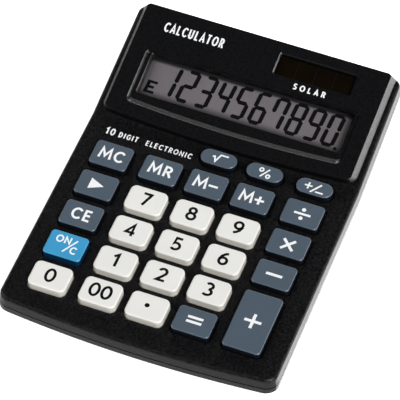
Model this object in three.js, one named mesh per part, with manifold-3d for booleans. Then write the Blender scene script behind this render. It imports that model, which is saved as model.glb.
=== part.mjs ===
// A desk calculator: a sloping case with a raised display head, 27 push keys,
// a liquid crystal display, a solar cell and a button cell for back-up power.
//
// Units are millimetres. +X is to the user's right, +Y runs from the front edge
// to the back, +Z is up, and the rubber feet stand on z = 0.
// Two tilted frames carry most pieces:
//   deck frame  u across, v up the keyboard slope, h out of the keyboard
//   head frame  u across, w up the display slope, h out of the display face
import * as THREE from "three";
import { mergeVertices } from "three/addons/utils/BufferGeometryUtils.js";
import Module from "manifold-3d";

const wasm = await Module();
wasm.setup();

// ---------------------------------------------------------------- dimensions
const GAP = 0.3;                 // clearance kept between separate pieces

const DECK_TILT = 5.6;           // slope of the keyboard, degrees
const HEAD_TILT = 16.8;          // slope of the display head, degrees
const DECK_FRONT_Z = 8.1;        // height of the keyboard plane at the front
const DECK_FRONT = -2.0;         // front edge, along the deck
const DECK_LENGTH = 83.6;        // the fold below the display, along the deck
const HEAD_LENGTH = 46.3;        // fold to the back edge, along the head
const HALF_WIDTH_FRONT = 49.7;
const HALF_WIDTH_FOLD = 49.2;
const HALF_WIDTH_REAR = 48.75;
const CASE_CENTRE = 0.2;         // the case's middle, beside the keys' middle
const SIDE_DRAFT = 0.4;          // extra half width at the parting line
const FRONT_BOW = 2.7;           // how far the front edge bulges
const FRONT_RADIUS = 4.2;
const REAR_RADIUS = 3.0;
const TOP_EDGE_RADIUS = 1.5;
const CASE_WALL = 1.8;
const CASE_DEPTH = 3.7;          // top case wall height, square to each slope

const BLOCK_HEIGHT = 2.6;        // raised display block above the shoulders
const BLOCK_HALF_FACE = 45.3;
const BLOCK_HALF_BASE = 46.9;
const BLOCK_FRONT = 0.8;         // along the head, at the middle
const BLOCK_BOW = 1.95;
const BLOCK_CEILING = -0.4;      // underside of the raised block

const BASE_Z = 0.9;              // underside of the rear cover
const FLOOR_TOP_Z = 2.5;
const COVER_WALL = 1.6;
const COVER_LIP = 2.0;           // upright band of the rear cover below the joint
const COVER_TAPER = 20;          // inward lean of the cover's sides, degrees
const TONGUE_OUTER = 2.6;        // locating tongue, in from the case outline
const TONGUE_INNER = 3.5;
const TONGUE_HEIGHT = 1.5;

const KEY_COLUMNS = [-34.95, -16.8, 0, 16.8, 34.95];
const KEY_ROWS = [13.0, 26.6, 40.2, 53.8, 67.4, 79.3];
const KEY_WIDTH = 13.8;
const KEY_DEPTH = 10.5;
const PILL_WIDTH = 13.3;
const PILL_DEPTH = 6.5;
const KEY_TOP = 2.3;             // key top above the deck
const KEY_HOLE_GAP = 0.35;
const FLANGE_EDGE = 0.75;        // flange beyond the cap, on each side
const FLANGE_TOP = -2.1;
const FLANGE_BOTTOM = -2.8;
const KEY_TRAVEL = 1.0;

const MEMBRANE_TOP = -4.4;
const MEMBRANE_BOTTOM = -5.0;
const DOME_TOP = FLANGE_BOTTOM - KEY_TRAVEL - GAP;
const PCB_TOP = -5.3;
const PCB_BOTTOM = -6.1;
const PCB_HALF = 42.0;
const PCB_FRONT = 9.0;
const PCB_REAR = 92.0;

const RIM_HALF = 39.7;           // display recess at the face
const RIM_CENTRE = 0.5;
const RIM_FRONT = 5.8;
const RIM_REAR = 28.5;
const RIM_BOW = 1.5;
const RECESS_FLOOR = 1.7;
const WINDOW = { half: 37.15, centre: 0.7, front: 12.0, rear: 28.1 };
const SOLAR = { x0: 5.8, x1: 34.3, w0: 33.4, w1: 42.0 };
const SOLAR_LEDGE = 0.15;        // the cell rests here, in the head frame

const CASE_SCREWS_FRONT = { x: 45.6, y: 21.0 };
const CASE_SCREWS_REAR = { x: 38.5, y: 122.0 };
const PCB_SCREW = { x: 40.0, v: 88.5 };
const FEET = [["front_left", -37, 15], ["front_right", 37, 15],
              ["rear_left", -28, 122], ["rear_right", 28, 122]];
const FOOT_RADIUS = 4.5;
const FOOT_HEIGHT = 1.4;

const BUTTON_CELL = { x: -24, v: 72, radius: 5.8, thickness: 3.1 };

const FAR = 60;                  // well outside the object, for cutting solids

// ------------------------------------------------------------------- frames
const rad = THREE.MathUtils.degToRad;
const deckTilt = rad(DECK_TILT);
const headTilt = rad(HEAD_TILT);
const foldY = DECK_LENGTH * Math.cos(deckTilt);
const foldZ = DECK_FRONT_Z + DECK_LENGTH * Math.sin(deckTilt);
const rearEdgeY = foldY + HEAD_LENGTH * Math.cos(headTilt);
const rearEdgeZ = foldZ + HEAD_LENGTH * Math.sin(headTilt);

// Y of the slanting rear wall at a given height: it stands square to the head.
function rearWallY(z) {
  return rearEdgeY + (rearEdgeZ - z) * Math.tan(headTilt);
}

const deckMatrix = new THREE.Matrix4()
  .makeTranslation(0, 0, DECK_FRONT_Z)
  .multiply(new THREE.Matrix4().makeRotationX(deckTilt));
const headMatrix = new THREE.Matrix4()
  .makeTranslation(0, foldY, foldZ)
  .multiply(new THREE.Matrix4().makeRotationX(headTilt));
const worldToDeck = deckMatrix.clone().invert();
const headToDeck = worldToDeck.clone().multiply(headMatrix);

// Height of the shoulder and deck surface at a given Y, less a depth below it.
function surfaceZ(y, depth) {
  const onDeck = DECK_FRONT_Z + y * Math.tan(deckTilt) - depth / Math.cos(deckTilt);
  const onHead = foldZ + (y - foldY) * Math.tan(headTilt) - depth / Math.cos(headTilt);
  return Math.max(onDeck, onHead);
}

// ------------------------------------------------------------ solid helpers
// A closed three.js geometry as a solid ready for joining and cutting.
function solid(geometry) {
  const bare = geometry.clone();
  bare.deleteAttribute("normal");
  bare.deleteAttribute("uv");
  const merged = mergeVertices(bare, 1e-4);
  return new wasm.Manifold(new wasm.Mesh({
    numProp: 3,
    vertProperties: new Float32Array(merged.getAttribute("position").array),
    triVerts: new Uint32Array(merged.getIndex().array),
  }));
}

// The solid's surface as a three.js geometry.
function geometryOf(body) {
  const mesh = body.getMesh();
  const geometry = new THREE.BufferGeometry();
  geometry.setAttribute("position",
    new THREE.BufferAttribute(new Float32Array(mesh.vertProperties), 3));
  geometry.setIndex(new THREE.BufferAttribute(new Uint32Array(mesh.triVerts), 1));
  geometry.computeVertexNormals();
  return geometry;
}

// A skin through closed rings of equal count, capped flat at both ends. Rings
// run anticlockwise seen from above and are listed from the bottom up.
function loft(rings) {
  const count = rings[0].length;
  const index = [];
  for (let k = 0; k + 1 < rings.length; k += 1) {
    for (let i = 0; i < count; i += 1) {
      const j = (i + 1) % count;
      const a = k * count + i;
      const b = k * count + j;
      const c = (k + 1) * count + j;
      const d = (k + 1) * count + i;
      index.push(a, b, c, a, c, d);
    }
  }
  const flat = (ring) => ring.map((p) => new THREE.Vector2(p[0], p[1]));
  const top = (rings.length - 1) * count;
  for (const [a, b, c] of THREE.ShapeUtils.triangulateShape(flat(rings[0]), [])) {
    index.push(a, c, b);
  }
  for (const [a, b, c] of THREE.ShapeUtils.triangulateShape(flat(rings.at(-1)), [])) {
    index.push(top + a, top + b, top + c);
  }
  const geometry = new THREE.BufferGeometry();
  geometry.setAttribute("position",
    new THREE.Float32BufferAttribute(rings.flat(2), 3));
  geometry.setIndex(index);
  geometry.computeVertexNormals();
  return geometry;
}

// Points of an arc, both ends included.
function arc(cx, cy, radius, from, to, steps) {
  const points = [];
  for (let i = 0; i <= steps; i += 1) {
    const a = from + (to - from) * i / steps;
    points.push([cx + radius * Math.cos(a), cy + radius * Math.sin(a)]);
  }
  return points;
}

// A plan outline, anticlockwise: bowed front edge, straight sides and rear, and
// rounded corners. `stops` puts extra points on both sides at those Y values.
function outline(o) {
  const { front, rear, halfFront, halfRear, bow = 0, centre = 0,
          rFront, rRear, stops = [], frontSteps = 8, cornerSteps = 3 } = o;
  const edgeX = halfFront - rFront;
  const lean = Math.atan(2 * bow * edgeX / (halfFront * halfFront));
  const endX = edgeX + rFront * Math.sin(lean);
  const frontAt = (x) => front + bow * (x / halfFront) ** 2;
  const arcY = frontAt(endX) + rFront * Math.cos(lean);
  const half = (y) => halfFront + (halfRear - halfFront) * (y - front) / (rear - front);
  const steps = bow > 0 ? frontSteps : 1;
  const points = [];
  for (let i = 0; i <= steps; i += 1) {
    const x = -endX + 2 * endX * i / steps;
    points.push([x, frontAt(x)]);
  }
  points.push(...arc(edgeX, arcY, rFront, lean - Math.PI / 2, 0, cornerSteps).slice(1));
  points.push(...stops.map((y) => [half(y), y]));
  points.push(...arc(halfRear - rRear, rear - rRear, rRear, 0, Math.PI / 2, cornerSteps));
  points.push(...arc(rRear - halfRear, rear - rRear, rRear, Math.PI / 2, Math.PI, cornerSteps));
  points.push(...[...stops].reverse().map((y) => [-half(y), y]));
  points.push(...arc(-edgeX, arcY, rFront, Math.PI, Math.PI * 1.5 - lean, cornerSteps).slice(0, -1));
  return points.map(([x, y]) => [x + centre, y]);
}

// A rounded rectangle about a centre.
function roundedRect(cx, cy, width, depth, radius, cornerSteps = 2) {
  const hw = width / 2;
  const hd = depth / 2;
  const corners = [[1, -1, -0.5], [1, 1, 0], [-1, 1, 0.5], [-1, -1, 1]];
  return corners.flatMap(([sx, sy, start]) => arc(
    cx + sx * (hw - radius), cy + sy * (hd - radius), radius,
    start * Math.PI, (start + 0.5) * Math.PI, cornerSteps));
}

// An outline lifted to height h.
function at(h, points) {
  return points.map(([x, y]) => [x, y, h]);
}

function box(x0, x1, y0, y1, z0, z1) {
  return new THREE.BoxGeometry(x1 - x0, y1 - y0, z1 - z0)
    .translate((x0 + x1) / 2, (y0 + y1) / 2, (z0 + z1) / 2);
}

// An upright cylinder from z0 to z1.
function post(x, y, radius, z0, z1, sides = 12) {
  return new THREE.CylinderGeometry(radius, radius, z1 - z0, sides)
    .rotateX(Math.PI / 2)
    .translate(x, y, (z0 + z1) / 2);
}

// A turned shape about the Z axis. The profile lists [radius, z] from the
// bottom up and starts and ends on the axis.
function turned(profile, sides = 16) {
  const points = profile.map(([r, z]) => new THREE.Vector2(r, z));
  return new THREE.LatheGeometry(points, sides).rotateX(Math.PI / 2);
}

function union(list) {
  return list.reduce((a, b) => a.add(b));
}

// --------------------------------------------------------------- materials
const MATERIALS = {
  case_black: { color: 0x0f1012, roughness: 0.55 },
  key_slate: { color: 0x53606e, roughness: 0.45 },
  key_white: { color: 0xebeae4, roughness: 0.4 },
  key_blue: { color: 0x3a8cc8, roughness: 0.4 },
  clear_window: { color: 0xd8e0e0, roughness: 0.05, opacity: 0.3, transparent: true },
  lcd_grey: { color: 0x757074, roughness: 0.2 },
  reflector_silver: { color: 0xb8babc, roughness: 0.3, metalness: 0.8 },
  solar_brown: { color: 0x16100c, roughness: 0.12 },
  rubber_grey: { color: 0x8d9094, roughness: 0.8 },
  pcb_green: { color: 0x1f5a34, roughness: 0.5 },
  steel: { color: 0xb4b6b8, roughness: 0.3, metalness: 1.0 },
  epoxy_black: { color: 0x0c0c0c, roughness: 0.35 },
  foot_rubber: { color: 0x17171a, roughness: 0.9 },
  ribbon_amber: { color: 0x9a6a2c, roughness: 0.5 },
  bracket_white: { color: 0xd9d9d4, roughness: 0.6 },
  wire_red: { color: 0xa51d1a, roughness: 0.5 },
  wire_black: { color: 0x111111, roughness: 0.5 },
};

const materialCache = {};
function material(slot) {
  materialCache[slot] ??= new THREE.MeshStandardMaterial({ name: slot, ...MATERIALS[slot] });
  return materialCache[slot];
}

function addMesh(group, name, geometry, slot) {
  const mesh = new THREE.Mesh(geometry, material(slot));
  mesh.name = name;
  group.add(mesh);
  return mesh;
}

// ------------------------------------------------------------------ top case
// Slab under the keyboard, in the deck frame. It runs a little past the fold,
// where it lies inside the head slab.
function deckSlab(inset, top, bottom, edge) {
  const rear = DECK_LENGTH + 5;
  const ring = (h, extra) => at(h, outline({
    front: DECK_FRONT + inset - extra,
    rear,
    halfFront: HALF_WIDTH_FRONT - inset + extra,
    halfRear: HALF_WIDTH_FOLD - inset + extra,
    bow: FRONT_BOW,
    centre: CASE_CENTRE,
    rFront: FRONT_RADIUS - inset * 0.8 + extra,
    rRear: 0.5,
  }));
  return solid(loft(slabRings(ring, top, bottom, edge)));
}

// Slab of the display head, in the head frame.
function headSlab(inset, top, bottom, edge) {
  const ring = (h, extra) => at(h, outline({
    front: -3,
    rear: HEAD_LENGTH - inset + extra,
    halfFront: HALF_WIDTH_FOLD - inset + extra,
    halfRear: HALF_WIDTH_REAR - inset + extra,
    centre: CASE_CENTRE,
    rFront: 0.5,
    rRear: REAR_RADIUS - inset * 0.8 + extra,
  }));
  return solid(loft(slabRings(ring, top, bottom, edge)));
}

// Rings from a slab's bottom, past its drafted side, to its rounded top edge.
function slabRings(ring, top, bottom, edge) {
  if (edge === 0) {
    return [ring(bottom, 0), ring(top, 0)];
  }
  const rings = [ring(bottom, SIDE_DRAFT)];
  for (const angle of [0, 30, 60, 90].map(rad)) {
    rings.push(ring(top - edge * (1 - Math.sin(angle)), -edge * (1 - Math.cos(angle))));
  }
  return rings;
}

// Raised block that frames the display, in the head frame.
function blockOutline(half, front, rear, radius) {
  return outline({ front, rear, halfFront: half, halfRear: half, bow: BLOCK_BOW,
                   rFront: radius, rRear: 1.4 });
}

function headBlock() {
  const rear = HEAD_LENGTH;
  return solid(loft([
    at(-1.0, blockOutline(BLOCK_HALF_BASE + 0.7, BLOCK_FRONT - 0.15, rear, 4.6)),
    at(BLOCK_HEIGHT - 0.35, blockOutline(BLOCK_HALF_FACE + 0.2, BLOCK_FRONT, rear, 1.9)),
    at(BLOCK_HEIGHT - 0.1, blockOutline(BLOCK_HALF_FACE, BLOCK_FRONT + 0.05, rear - 0.1, 1.6)),
    at(BLOCK_HEIGHT, blockOutline(BLOCK_HALF_FACE - 0.3, BLOCK_FRONT + 0.25, rear - 0.4, 1.4)),
  ]));
}

// Display recess: steep sides and a bevelled, bowed front edge, then the
// window opening, straight down.
function displayCut() {
  const rim = (inset, frontInset) => outline({
    front: RIM_FRONT + frontInset,
    rear: RIM_REAR - inset * 0.4,
    halfFront: RIM_HALF - inset,
    halfRear: RIM_HALF - inset,
    bow: RIM_BOW,
    centre: RIM_CENTRE,
    rFront: 1.6 - inset * 0.5,
    rRear: 1.0,
  });
  const recess = solid(loft([
    at(RECESS_FLOOR, rim(0.45, 1.95)),
    at(BLOCK_HEIGHT, rim(0, 0)),
    at(BLOCK_HEIGHT + 0.5, rim(-0.1, -0.1)),
  ]));
  const { half, centre, front, rear } = WINDOW;
  const plan = roundedRect(centre, (front + rear) / 2, 2 * half, rear - front, 0.6);
  const opening = solid(loft([at(BLOCK_CEILING - 1, plan), at(RECESS_FLOOR + 0.3, plan)]));
  return recess.add(opening);
}

// Solar cell pocket with a ledge, open below for the two leads.
function solarCut() {
  const { x0, x1, w0, w1 } = SOLAR;
  const pocket = (inset) => roundedRect(
    (x0 + x1) / 2, (w0 + w1) / 2, x1 - x0 - 2 * inset, w1 - w0 - 2 * inset, 0.6 - inset * 0.2, 2);
  return solid(loft([
    at(BLOCK_CEILING - 1, pocket(1.4)),
    at(SOLAR_LEDGE, pocket(1.4)),
    at(SOLAR_LEDGE, pocket(0.15)),
    at(BLOCK_HEIGHT + 0.5, pocket(0)),
  ]));
}

function keyOutline(key, grow) {
  const isPill = key.shape === "pill";
  const cornerRadius = Math.max((key.soft ? 2.2 : 1.5) + grow * 0.8, 0.4);
  const radius = isPill ? key.depth / 2 + grow - 0.05 : cornerRadius;
  return roundedRect(0, 0, key.width + 2 * grow, key.depth + 2 * grow,
    radius, isPill ? 4 : 2);
}

function keyHole(key) {
  const plan = keyOutline(key, KEY_HOLE_GAP);
  return solid(loft([at(-4, plan), at(1, plan)]).translate(key.u, key.v, 0));
}

// A boss in the top case with its blind screw bore, both upright in the world.
function caseBoss(x, y, bottom, top) {
  return solid(post(x, y, 2.3, bottom, top).applyMatrix4(worldToDeck));
}

function caseBore(x, y, bottom, top) {
  return solid(post(x, y, 1.36, bottom - 1, top).applyMatrix4(worldToDeck));
}

const FRONT_BOSS_BOTTOM = 4.5;
const REAR_BOSS_BOTTOM = 14.0;

function makeTopCase(keys) {
  const inHead = (body) => body.transform(headToDeck.elements);
  const outer = union([
    deckSlab(0, 0, -CASE_DEPTH, TOP_EDGE_RADIUS),
    inHead(headSlab(0, 0, -CASE_DEPTH, TOP_EDGE_RADIUS)),
    inHead(headBlock()),
  ]);
  const blockCavity = solid(loft([-14, BLOCK_CEILING].map((h) => at(h, outline({
    front: BLOCK_FRONT + 2, rear: HEAD_LENGTH - CASE_WALL, halfFront: 43.4, halfRear: 43.4,
    rFront: 2, rRear: 2,
  })))));
  const joint = belowJoint(CASE_DEPTH).transform(worldToDeck.elements);
  const cavity = union([
    deckSlab(CASE_WALL, -CASE_WALL, -14, 0),
    inHead(headSlab(CASE_WALL, -CASE_WALL, -14, 0)),
    inHead(blockCavity),
  ]);
  let body = outer.subtract(joint).subtract(cavity);
  const bosses = [];
  const bores = [];
  for (const side of [-1, 1]) {
    const f = CASE_SCREWS_FRONT;
    const r = CASE_SCREWS_REAR;
    const p = PCB_SCREW;
    bosses.push(caseBoss(side * f.x, f.y, FRONT_BOSS_BOTTOM, surfaceZ(f.y, 1)));
    bores.push(caseBore(side * f.x, f.y, FRONT_BOSS_BOTTOM, surfaceZ(f.y, 1.4)));
    bosses.push(caseBoss(side * r.x, r.y, REAR_BOSS_BOTTOM, surfaceZ(r.y, -1)));
    bores.push(caseBore(side * r.x, r.y, REAR_BOSS_BOTTOM, surfaceZ(r.y, 4)));
    bosses.push(solid(post(side * p.x, p.v, 2.0, PCB_TOP + GAP, 1.5)));
    bores.push(solid(post(side * p.x, p.v, 1.05, PCB_TOP - 1, -1)));
  }
  body = body.add(union(bosses)).subtract(union(bores));
  body = body.subtract(union(keys.map(keyHole)));
  body = body.subtract(inHead(displayCut())).subtract(inHead(solarCut()));
  return geometryOf(body);
}

// ----------------------------------------------------------------- rear cover
// Everything below the joint line, which follows both slopes at a given depth.
function belowJoint(depth) {
  const lower = (matrix) => solid(box(-FAR * 2, FAR * 2, -FAR * 2, FAR * 3, -FAR * 3, -depth)
    .applyMatrix4(matrix));
  return lower(deckMatrix).add(lower(headMatrix));
}

const coverStops = [50, 68, foldY, 96, 110];

// Plan outline of the rear cover at height z, drawn in from the case outline.
function coverOutline(z, inset) {
  const lipY = DECK_FRONT - SIDE_DRAFT + (CASE_DEPTH + GAP) * Math.sin(deckTilt);
  return outline({
    front: lipY + inset,
    rear: rearWallY(z) - inset,
    halfFront: HALF_WIDTH_FRONT + SIDE_DRAFT - inset,
    halfRear: HALF_WIDTH_REAR + SIDE_DRAFT - inset,
    bow: FRONT_BOW,
    centre: CASE_CENTRE,
    rFront: Math.max(FRONT_RADIUS + SIDE_DRAFT - inset * 0.8, 1),
    rRear: Math.max(REAR_RADIUS + SIDE_DRAFT - inset * 0.8, 1),
    stops: coverStops,
  });
}

// Height of the lower edge of the upright lip.
function lipBottomZ(y, extra) {
  return Math.max(surfaceZ(y, CASE_DEPTH + GAP + COVER_LIP + extra), BASE_Z + 0.55 + extra);
}

// The cover's outside, or its inside when a wall thickness is given.
function coverBody(wall) {
  const lean = Math.tan(rad(COVER_TAPER));
  const baseZ = wall > 0 ? FLOOR_TOP_Z : BASE_Z;
  const lip = coverOutline(FAR, wall);
  const base = coverOutline(baseZ, wall);
  const lipRing = lip.map(([x, y], i) => {
    const z = lipBottomZ(Math.min(base[i][1], rearEdgeY), wall > 0 ? 1.2 : 0);
    const atLip = coverOutline(z, wall)[i];
    return [atLip[0], atLip[1], z];
  });
  const baseRing = base.map(([x, y], i) => {
    const rise = Math.max(lipRing[i][2] - baseZ, 0.4);
    const pull = Math.min(0.3 + rise * lean, 9);
    const reach = Math.abs(x - CASE_CENTRE);
    const side = Math.sign(x - CASE_CENTRE) * Math.min(pull, reach);
    const nearFront = 1 - THREE.MathUtils.smoothstep(y, DECK_FRONT, 9);
    return [x - side * (reach / HALF_WIDTH_FRONT), y + nearFront * 0.7, baseZ];
  });
  const topRing = lip.map(([x, y]) => [x, y, FAR]);
  return solid(loft([baseRing, lipRing, topRing]));
}

function ringWall(outer, inner) {
  const prism = (inset) => solid(loft([
    coverOutline(-5, inset).map(([x, y]) => [x, y, -5]),
    coverOutline(FAR, inset).map(([x, y]) => [x, y, FAR]),
  ]));
  return prism(outer).subtract(prism(inner));
}

function makeRearCover() {
  const joint = CASE_DEPTH + GAP;
  const shell = coverBody(0).intersect(belowJoint(joint)).subtract(coverBody(COVER_WALL));
  // Tongue that locates the cover inside the top case.
  const tongue = ringWall(TONGUE_OUTER, TONGUE_INNER)
    .intersect(belowJoint(joint - TONGUE_HEIGHT))
    .subtract(belowJoint(joint + 1.2))
    .add(ringWall(COVER_WALL - 0.4, TONGUE_INNER)
      .intersect(belowJoint(joint))
      .subtract(belowJoint(joint + 1.2)))
    .intersect(solid(box(-FAR, FAR, -FAR, FAR * 3, FLOOR_TOP_Z - 0.5, FAR)));
  let body = shell;
  const bossRoom = [];
  for (const side of [-1, 1]) {
    bossRoom.push(solid(post(side * CASE_SCREWS_FRONT.x, CASE_SCREWS_FRONT.y, 2.8, 0, FAR)));
  }
  body = body.add(tongue.subtract(union(bossRoom)));
  for (const side of [-1, 1]) {
    for (const [spot, top] of [[CASE_SCREWS_FRONT, FRONT_BOSS_BOTTOM],
                               [CASE_SCREWS_REAR, REAR_BOSS_BOTTOM]]) {
      const x = side * spot.x;
      body = body.add(solid(post(x, spot.y, 3.0, FLOOR_TOP_Z - 1, top - GAP)))
        .subtract(solid(post(x, spot.y, 2.3, -1, top - 1.7)))
        .subtract(solid(post(x, spot.y, 1.4, -1, top + 1)));
    }
  }
  for (const [, x, y] of FEET) {
    body = body.subtract(solid(post(x, y, FOOT_RADIUS + GAP, -1, FOOT_HEIGHT + GAP, 18)));
  }
  return geometryOf(body);
}

// ----------------------------------------------------------------------- keys
const KEY_LIST = [
  ["mc", 0, 4, "slate"], ["mr", 1, 4, "slate"], ["m_minus", 2, 4, "slate"],
  ["m_plus", 3, 4, "slate"], ["divide", 4, 4, "slate"],
  ["sqrt", 2, 5, "pill"], ["percent", 3, 5, "pill"], ["sign", 4, 5, "pill"],
  ["backspace", 0, 3, "slate"], ["7", 1, 3, "white"], ["8", 2, 3, "white"],
  ["9", 3, 3, "white"], ["multiply", 4, 3, "slate"],
  ["ce", 0, 2, "slate"], ["4", 1, 2, "white"], ["5", 2, 2, "white"],
  ["6", 3, 2, "white"], ["minus", 4, 2, "slate"],
  ["on_clear", 0, 1, "blue"], ["1", 1, 1, "white"], ["2", 2, 1, "white"],
  ["3", 3, 1, "white"],
  ["0", 0, 0, "white"], ["00", 1, 0, "white"], ["point", 2, 0, "white"],
  ["equals", 3, 0, "slate"], ["plus", 4, 0.5, "slate"],
];

function describeKey([name, column, row, style]) {
  const isPlus = name === "plus";
  const isPill = style === "pill";
  const rowPitch = KEY_ROWS[1] - KEY_ROWS[0];
  return {
    name: `key_${name}`,
    u: KEY_COLUMNS[column],
    v: isPlus ? KEY_ROWS[0] + rowPitch / 2 : KEY_ROWS[row],
    width: isPill ? PILL_WIDTH : KEY_WIDTH,
    depth: isPill ? PILL_DEPTH : KEY_DEPTH + (isPlus ? rowPitch : 0),
    shape: isPill ? "pill" : "rect",
    soft: style === "white",
    slot: isPill ? "key_slate" : `key_${style}`,
  };
}

// A key about its own centre: flange under the deck, drafted cap above it.
// Number keys have rounder corners and a softer edge than the function keys.
function keyGeometry(key) {
  const profile = key.soft
    ? [[KEY_TOP - 0.7, -0.12], [KEY_TOP - 0.2, -0.3], [KEY_TOP, -0.75]]
    : [[KEY_TOP - 0.4, -0.12], [KEY_TOP - 0.12, -0.25], [KEY_TOP, -0.55]];
  return loft([
    at(FLANGE_BOTTOM, keyOutline(key, FLANGE_EDGE)),
    at(FLANGE_TOP, keyOutline(key, FLANGE_EDGE)),
    at(FLANGE_TOP, keyOutline(key, 0)),
    ...profile.map(([h, grow]) => at(h, keyOutline(key, grow))),
  ]);
}

// ------------------------------------------------------------ inside the case
function makeMembrane(keys) {
  const half = PCB_HALF;
  const sheet = solid(loft([MEMBRANE_BOTTOM, MEMBRANE_TOP].map((h) => at(h,
    roundedRect(0, (7 + 84.5) / 2, 2 * half, 84.5 - 7, 1.5, 2)))));
  const domes = keys.map((key) => solid(new THREE.CylinderGeometry(2.0, 3.0, 0.6, 6)
    .rotateX(Math.PI / 2)
    .translate(key.u, key.v, DOME_TOP - 0.3)));
  return geometryOf(sheet.add(union(domes)));
}

function makeBoard() {
  const sheet = solid(loft([PCB_BOTTOM, PCB_TOP].map((h) => at(h,
    roundedRect(0, (PCB_FRONT + PCB_REAR) / 2, 2 * PCB_HALF, PCB_REAR - PCB_FRONT, 1.5, 2)))));
  const holes = [-1, 1].map((side) => solid(
    post(side * PCB_SCREW.x, PCB_SCREW.v, 1.3, PCB_BOTTOM - 1, PCB_TOP + 1, 12)));
  return geometryOf(sheet.subtract(union(holes)));
}

// A pan-head screw pointing up, its head's underside at z = 0.
function screwGeometry(headRadius, headHeight, shankRadius, length) {
  return turned([
    [0, -headHeight], [headRadius * 0.7, -headHeight],
    [headRadius, -headHeight * 0.5], [headRadius, 0], [shankRadius, 0],
    [shankRadius, length - 0.8], [shankRadius * 0.5, length], [0, length],
  ], 10);
}

// A flat flexible strip from the display's front edge down to the board.
function ribbonGeometry() {
  const width = 46;
  const start = new THREE.Vector3(0, 13.0, -4.0).applyMatrix4(headToDeck);
  const spine = [
    [start.y, start.z], [start.y - 2.4, start.z - 0.7], [92.5, -3.5],
    [89.6, -4.35], [86.6, -4.6],
  ];
  const curve = new THREE.SplineCurve(spine.map(([v, h]) => new THREE.Vector2(v, h)));
  const upper = [];
  const lower = [];
  const steps = 12;
  for (let i = 0; i <= steps; i += 1) {
    const p = curve.getPoint(i / steps);
    const t = curve.getTangent(i / steps);
    upper.push(new THREE.Vector2(p.x - t.y * 0.12, p.y + t.x * 0.12));
    lower.push(new THREE.Vector2(p.x + t.y * 0.12, p.y - t.x * 0.12));
  }
  const shape = new THREE.Shape([...upper, ...lower.reverse()]);
  // The shape lies in (v, h); stand it up so that it is extruded along u.
  return new THREE.ExtrudeGeometry(shape, { depth: width, bevelEnabled: false })
    .applyMatrix4(new THREE.Matrix4().makeBasis(
      new THREE.Vector3(0, 1, 0), new THREE.Vector3(0, 0, 1), new THREE.Vector3(1, 0, 0)))
    .translate(-width / 2, 0, 0);
}

// White frame that carries the display glass from below.
function makeBracket() {
  const plate = solid(box(-41.5, 41.5, 9.0, 32.0, -5.2, -4.4));
  const relief = solid(box(-30, 30, 13.0, 28.0, -6, -4));
  const slot = solid(box(-24, 24, 8, 14.5, -6, -4));
  const ends = [-1, 1].map((side) => solid(box(
    side > 0 ? 40.4 : -41.5, side > 0 ? 41.5 : -40.4, 10.0, 31.0, -4.5, -2.2)));
  return geometryOf(plate.add(union(ends)).subtract(relief).subtract(slot));
}

// Spring clip that wraps under the button cell and back up to the board.
function makeClip() {
  const { x, v, radius, thickness } = BUTTON_CELL;
  const top = PCB_BOTTOM - GAP;
  const bottom = top - 0.2 - GAP - thickness - GAP;
  const reach = radius + GAP;
  const strap = solid(box(x - reach - 0.4, x + reach + 0.4, v - 2.5, v + 2.5, bottom - 0.3, bottom));
  const legs = [-1, 1].map((side) => solid(box(
    side > 0 ? x + reach : x - reach - 0.4, side > 0 ? x + reach + 0.4 : x - reach,
    v - 2.5, v + 2.5, bottom - 0.3, top)));
  return geometryOf(strap.add(union(legs)));
}

// An insulated lead along a smooth path given in the head frame.
function leadGeometry(points) {
  const path = new THREE.CatmullRomCurve3(points.map((p) => new THREE.Vector3(...p)));
  const section = new THREE.Shape();
  section.absarc(0, 0, 0.45, 0, Math.PI * 2, false);
  const geometry = new THREE.ExtrudeGeometry(section, {
    extrudePath: path, steps: 14, curveSegments: 4, bevelEnabled: false,
  });
  return geometry;
}

// -------------------------------------------------------------------- assembly
const keys = KEY_LIST.map(describeKey);

const calculator = new THREE.Group();
// Centre the standing object on the origin.
const frontmostY = (DECK_FRONT - SIDE_DRAFT) * Math.cos(deckTilt)
  + CASE_DEPTH * Math.sin(deckTilt);
calculator.position.y = -(frontmostY + rearWallY(BASE_Z)) / 2;

const deck = new THREE.Group();
deck.position.z = DECK_FRONT_Z;
deck.rotation.x = deckTilt;
calculator.add(deck);

const head = new THREE.Group();
head.position.set(0, foldY, foldZ);
head.rotation.x = headTilt;
calculator.add(head);

addMesh(deck, "top_case", makeTopCase(keys), "case_black");
addMesh(calculator, "rear_cover", makeRearCover(), "case_black");

for (const key of keys) {
  addMesh(deck, key.name, keyGeometry(key), key.slot).position.set(key.u, key.v, 0);
}

addMesh(deck, "keypad_membrane", makeMembrane(keys), "rubber_grey");
addMesh(deck, "main_board", makeBoard(), "pcb_green");

// Display stack under the window, in the head frame.
const lensTop = BLOCK_CEILING - GAP;
const glassTop = lensTop - 0.8 - GAP;
const foilTop = glassTop - 1.6 - GAP;
addMesh(head, "display_window", box(-38.8, 39.6, 10.4, 29.4, lensTop - 0.8, lensTop),
  "clear_window");
addMesh(head, "lcd_glass", box(-39.6, 39.9, 9.6, 31.2, glassTop - 1.6, glassTop), "lcd_grey");
addMesh(head, "lcd_reflector", box(-38.5, 38.5, 14.8, 30.4, foilTop - 0.2, foilTop),
  "reflector_silver");
addMesh(head, "lcd_bracket", makeBracket(), "bracket_white").position.z = -0.2;
addMesh(deck, "lcd_ribbon", ribbonGeometry(), "ribbon_amber");

addMesh(head, "solar_cell",
  box(SOLAR.x0 + 0.5, SOLAR.x1 - 0.5, SOLAR.w0 + 0.5, SOLAR.w1 - 0.5,
    SOLAR_LEDGE + GAP, SOLAR_LEDGE + GAP + 0.5), "solar_brown");

const chip = addMesh(deck, "chip_blob", turned([
  [0, 0], [6.2, 0], [5.6, 0.6], [4.2, 1.15], [2.2, 1.45], [0, 1.5]], 20), "epoxy_black");
chip.position.set(2, 58, PCB_BOTTOM - GAP);
chip.rotation.x = Math.PI;

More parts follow.
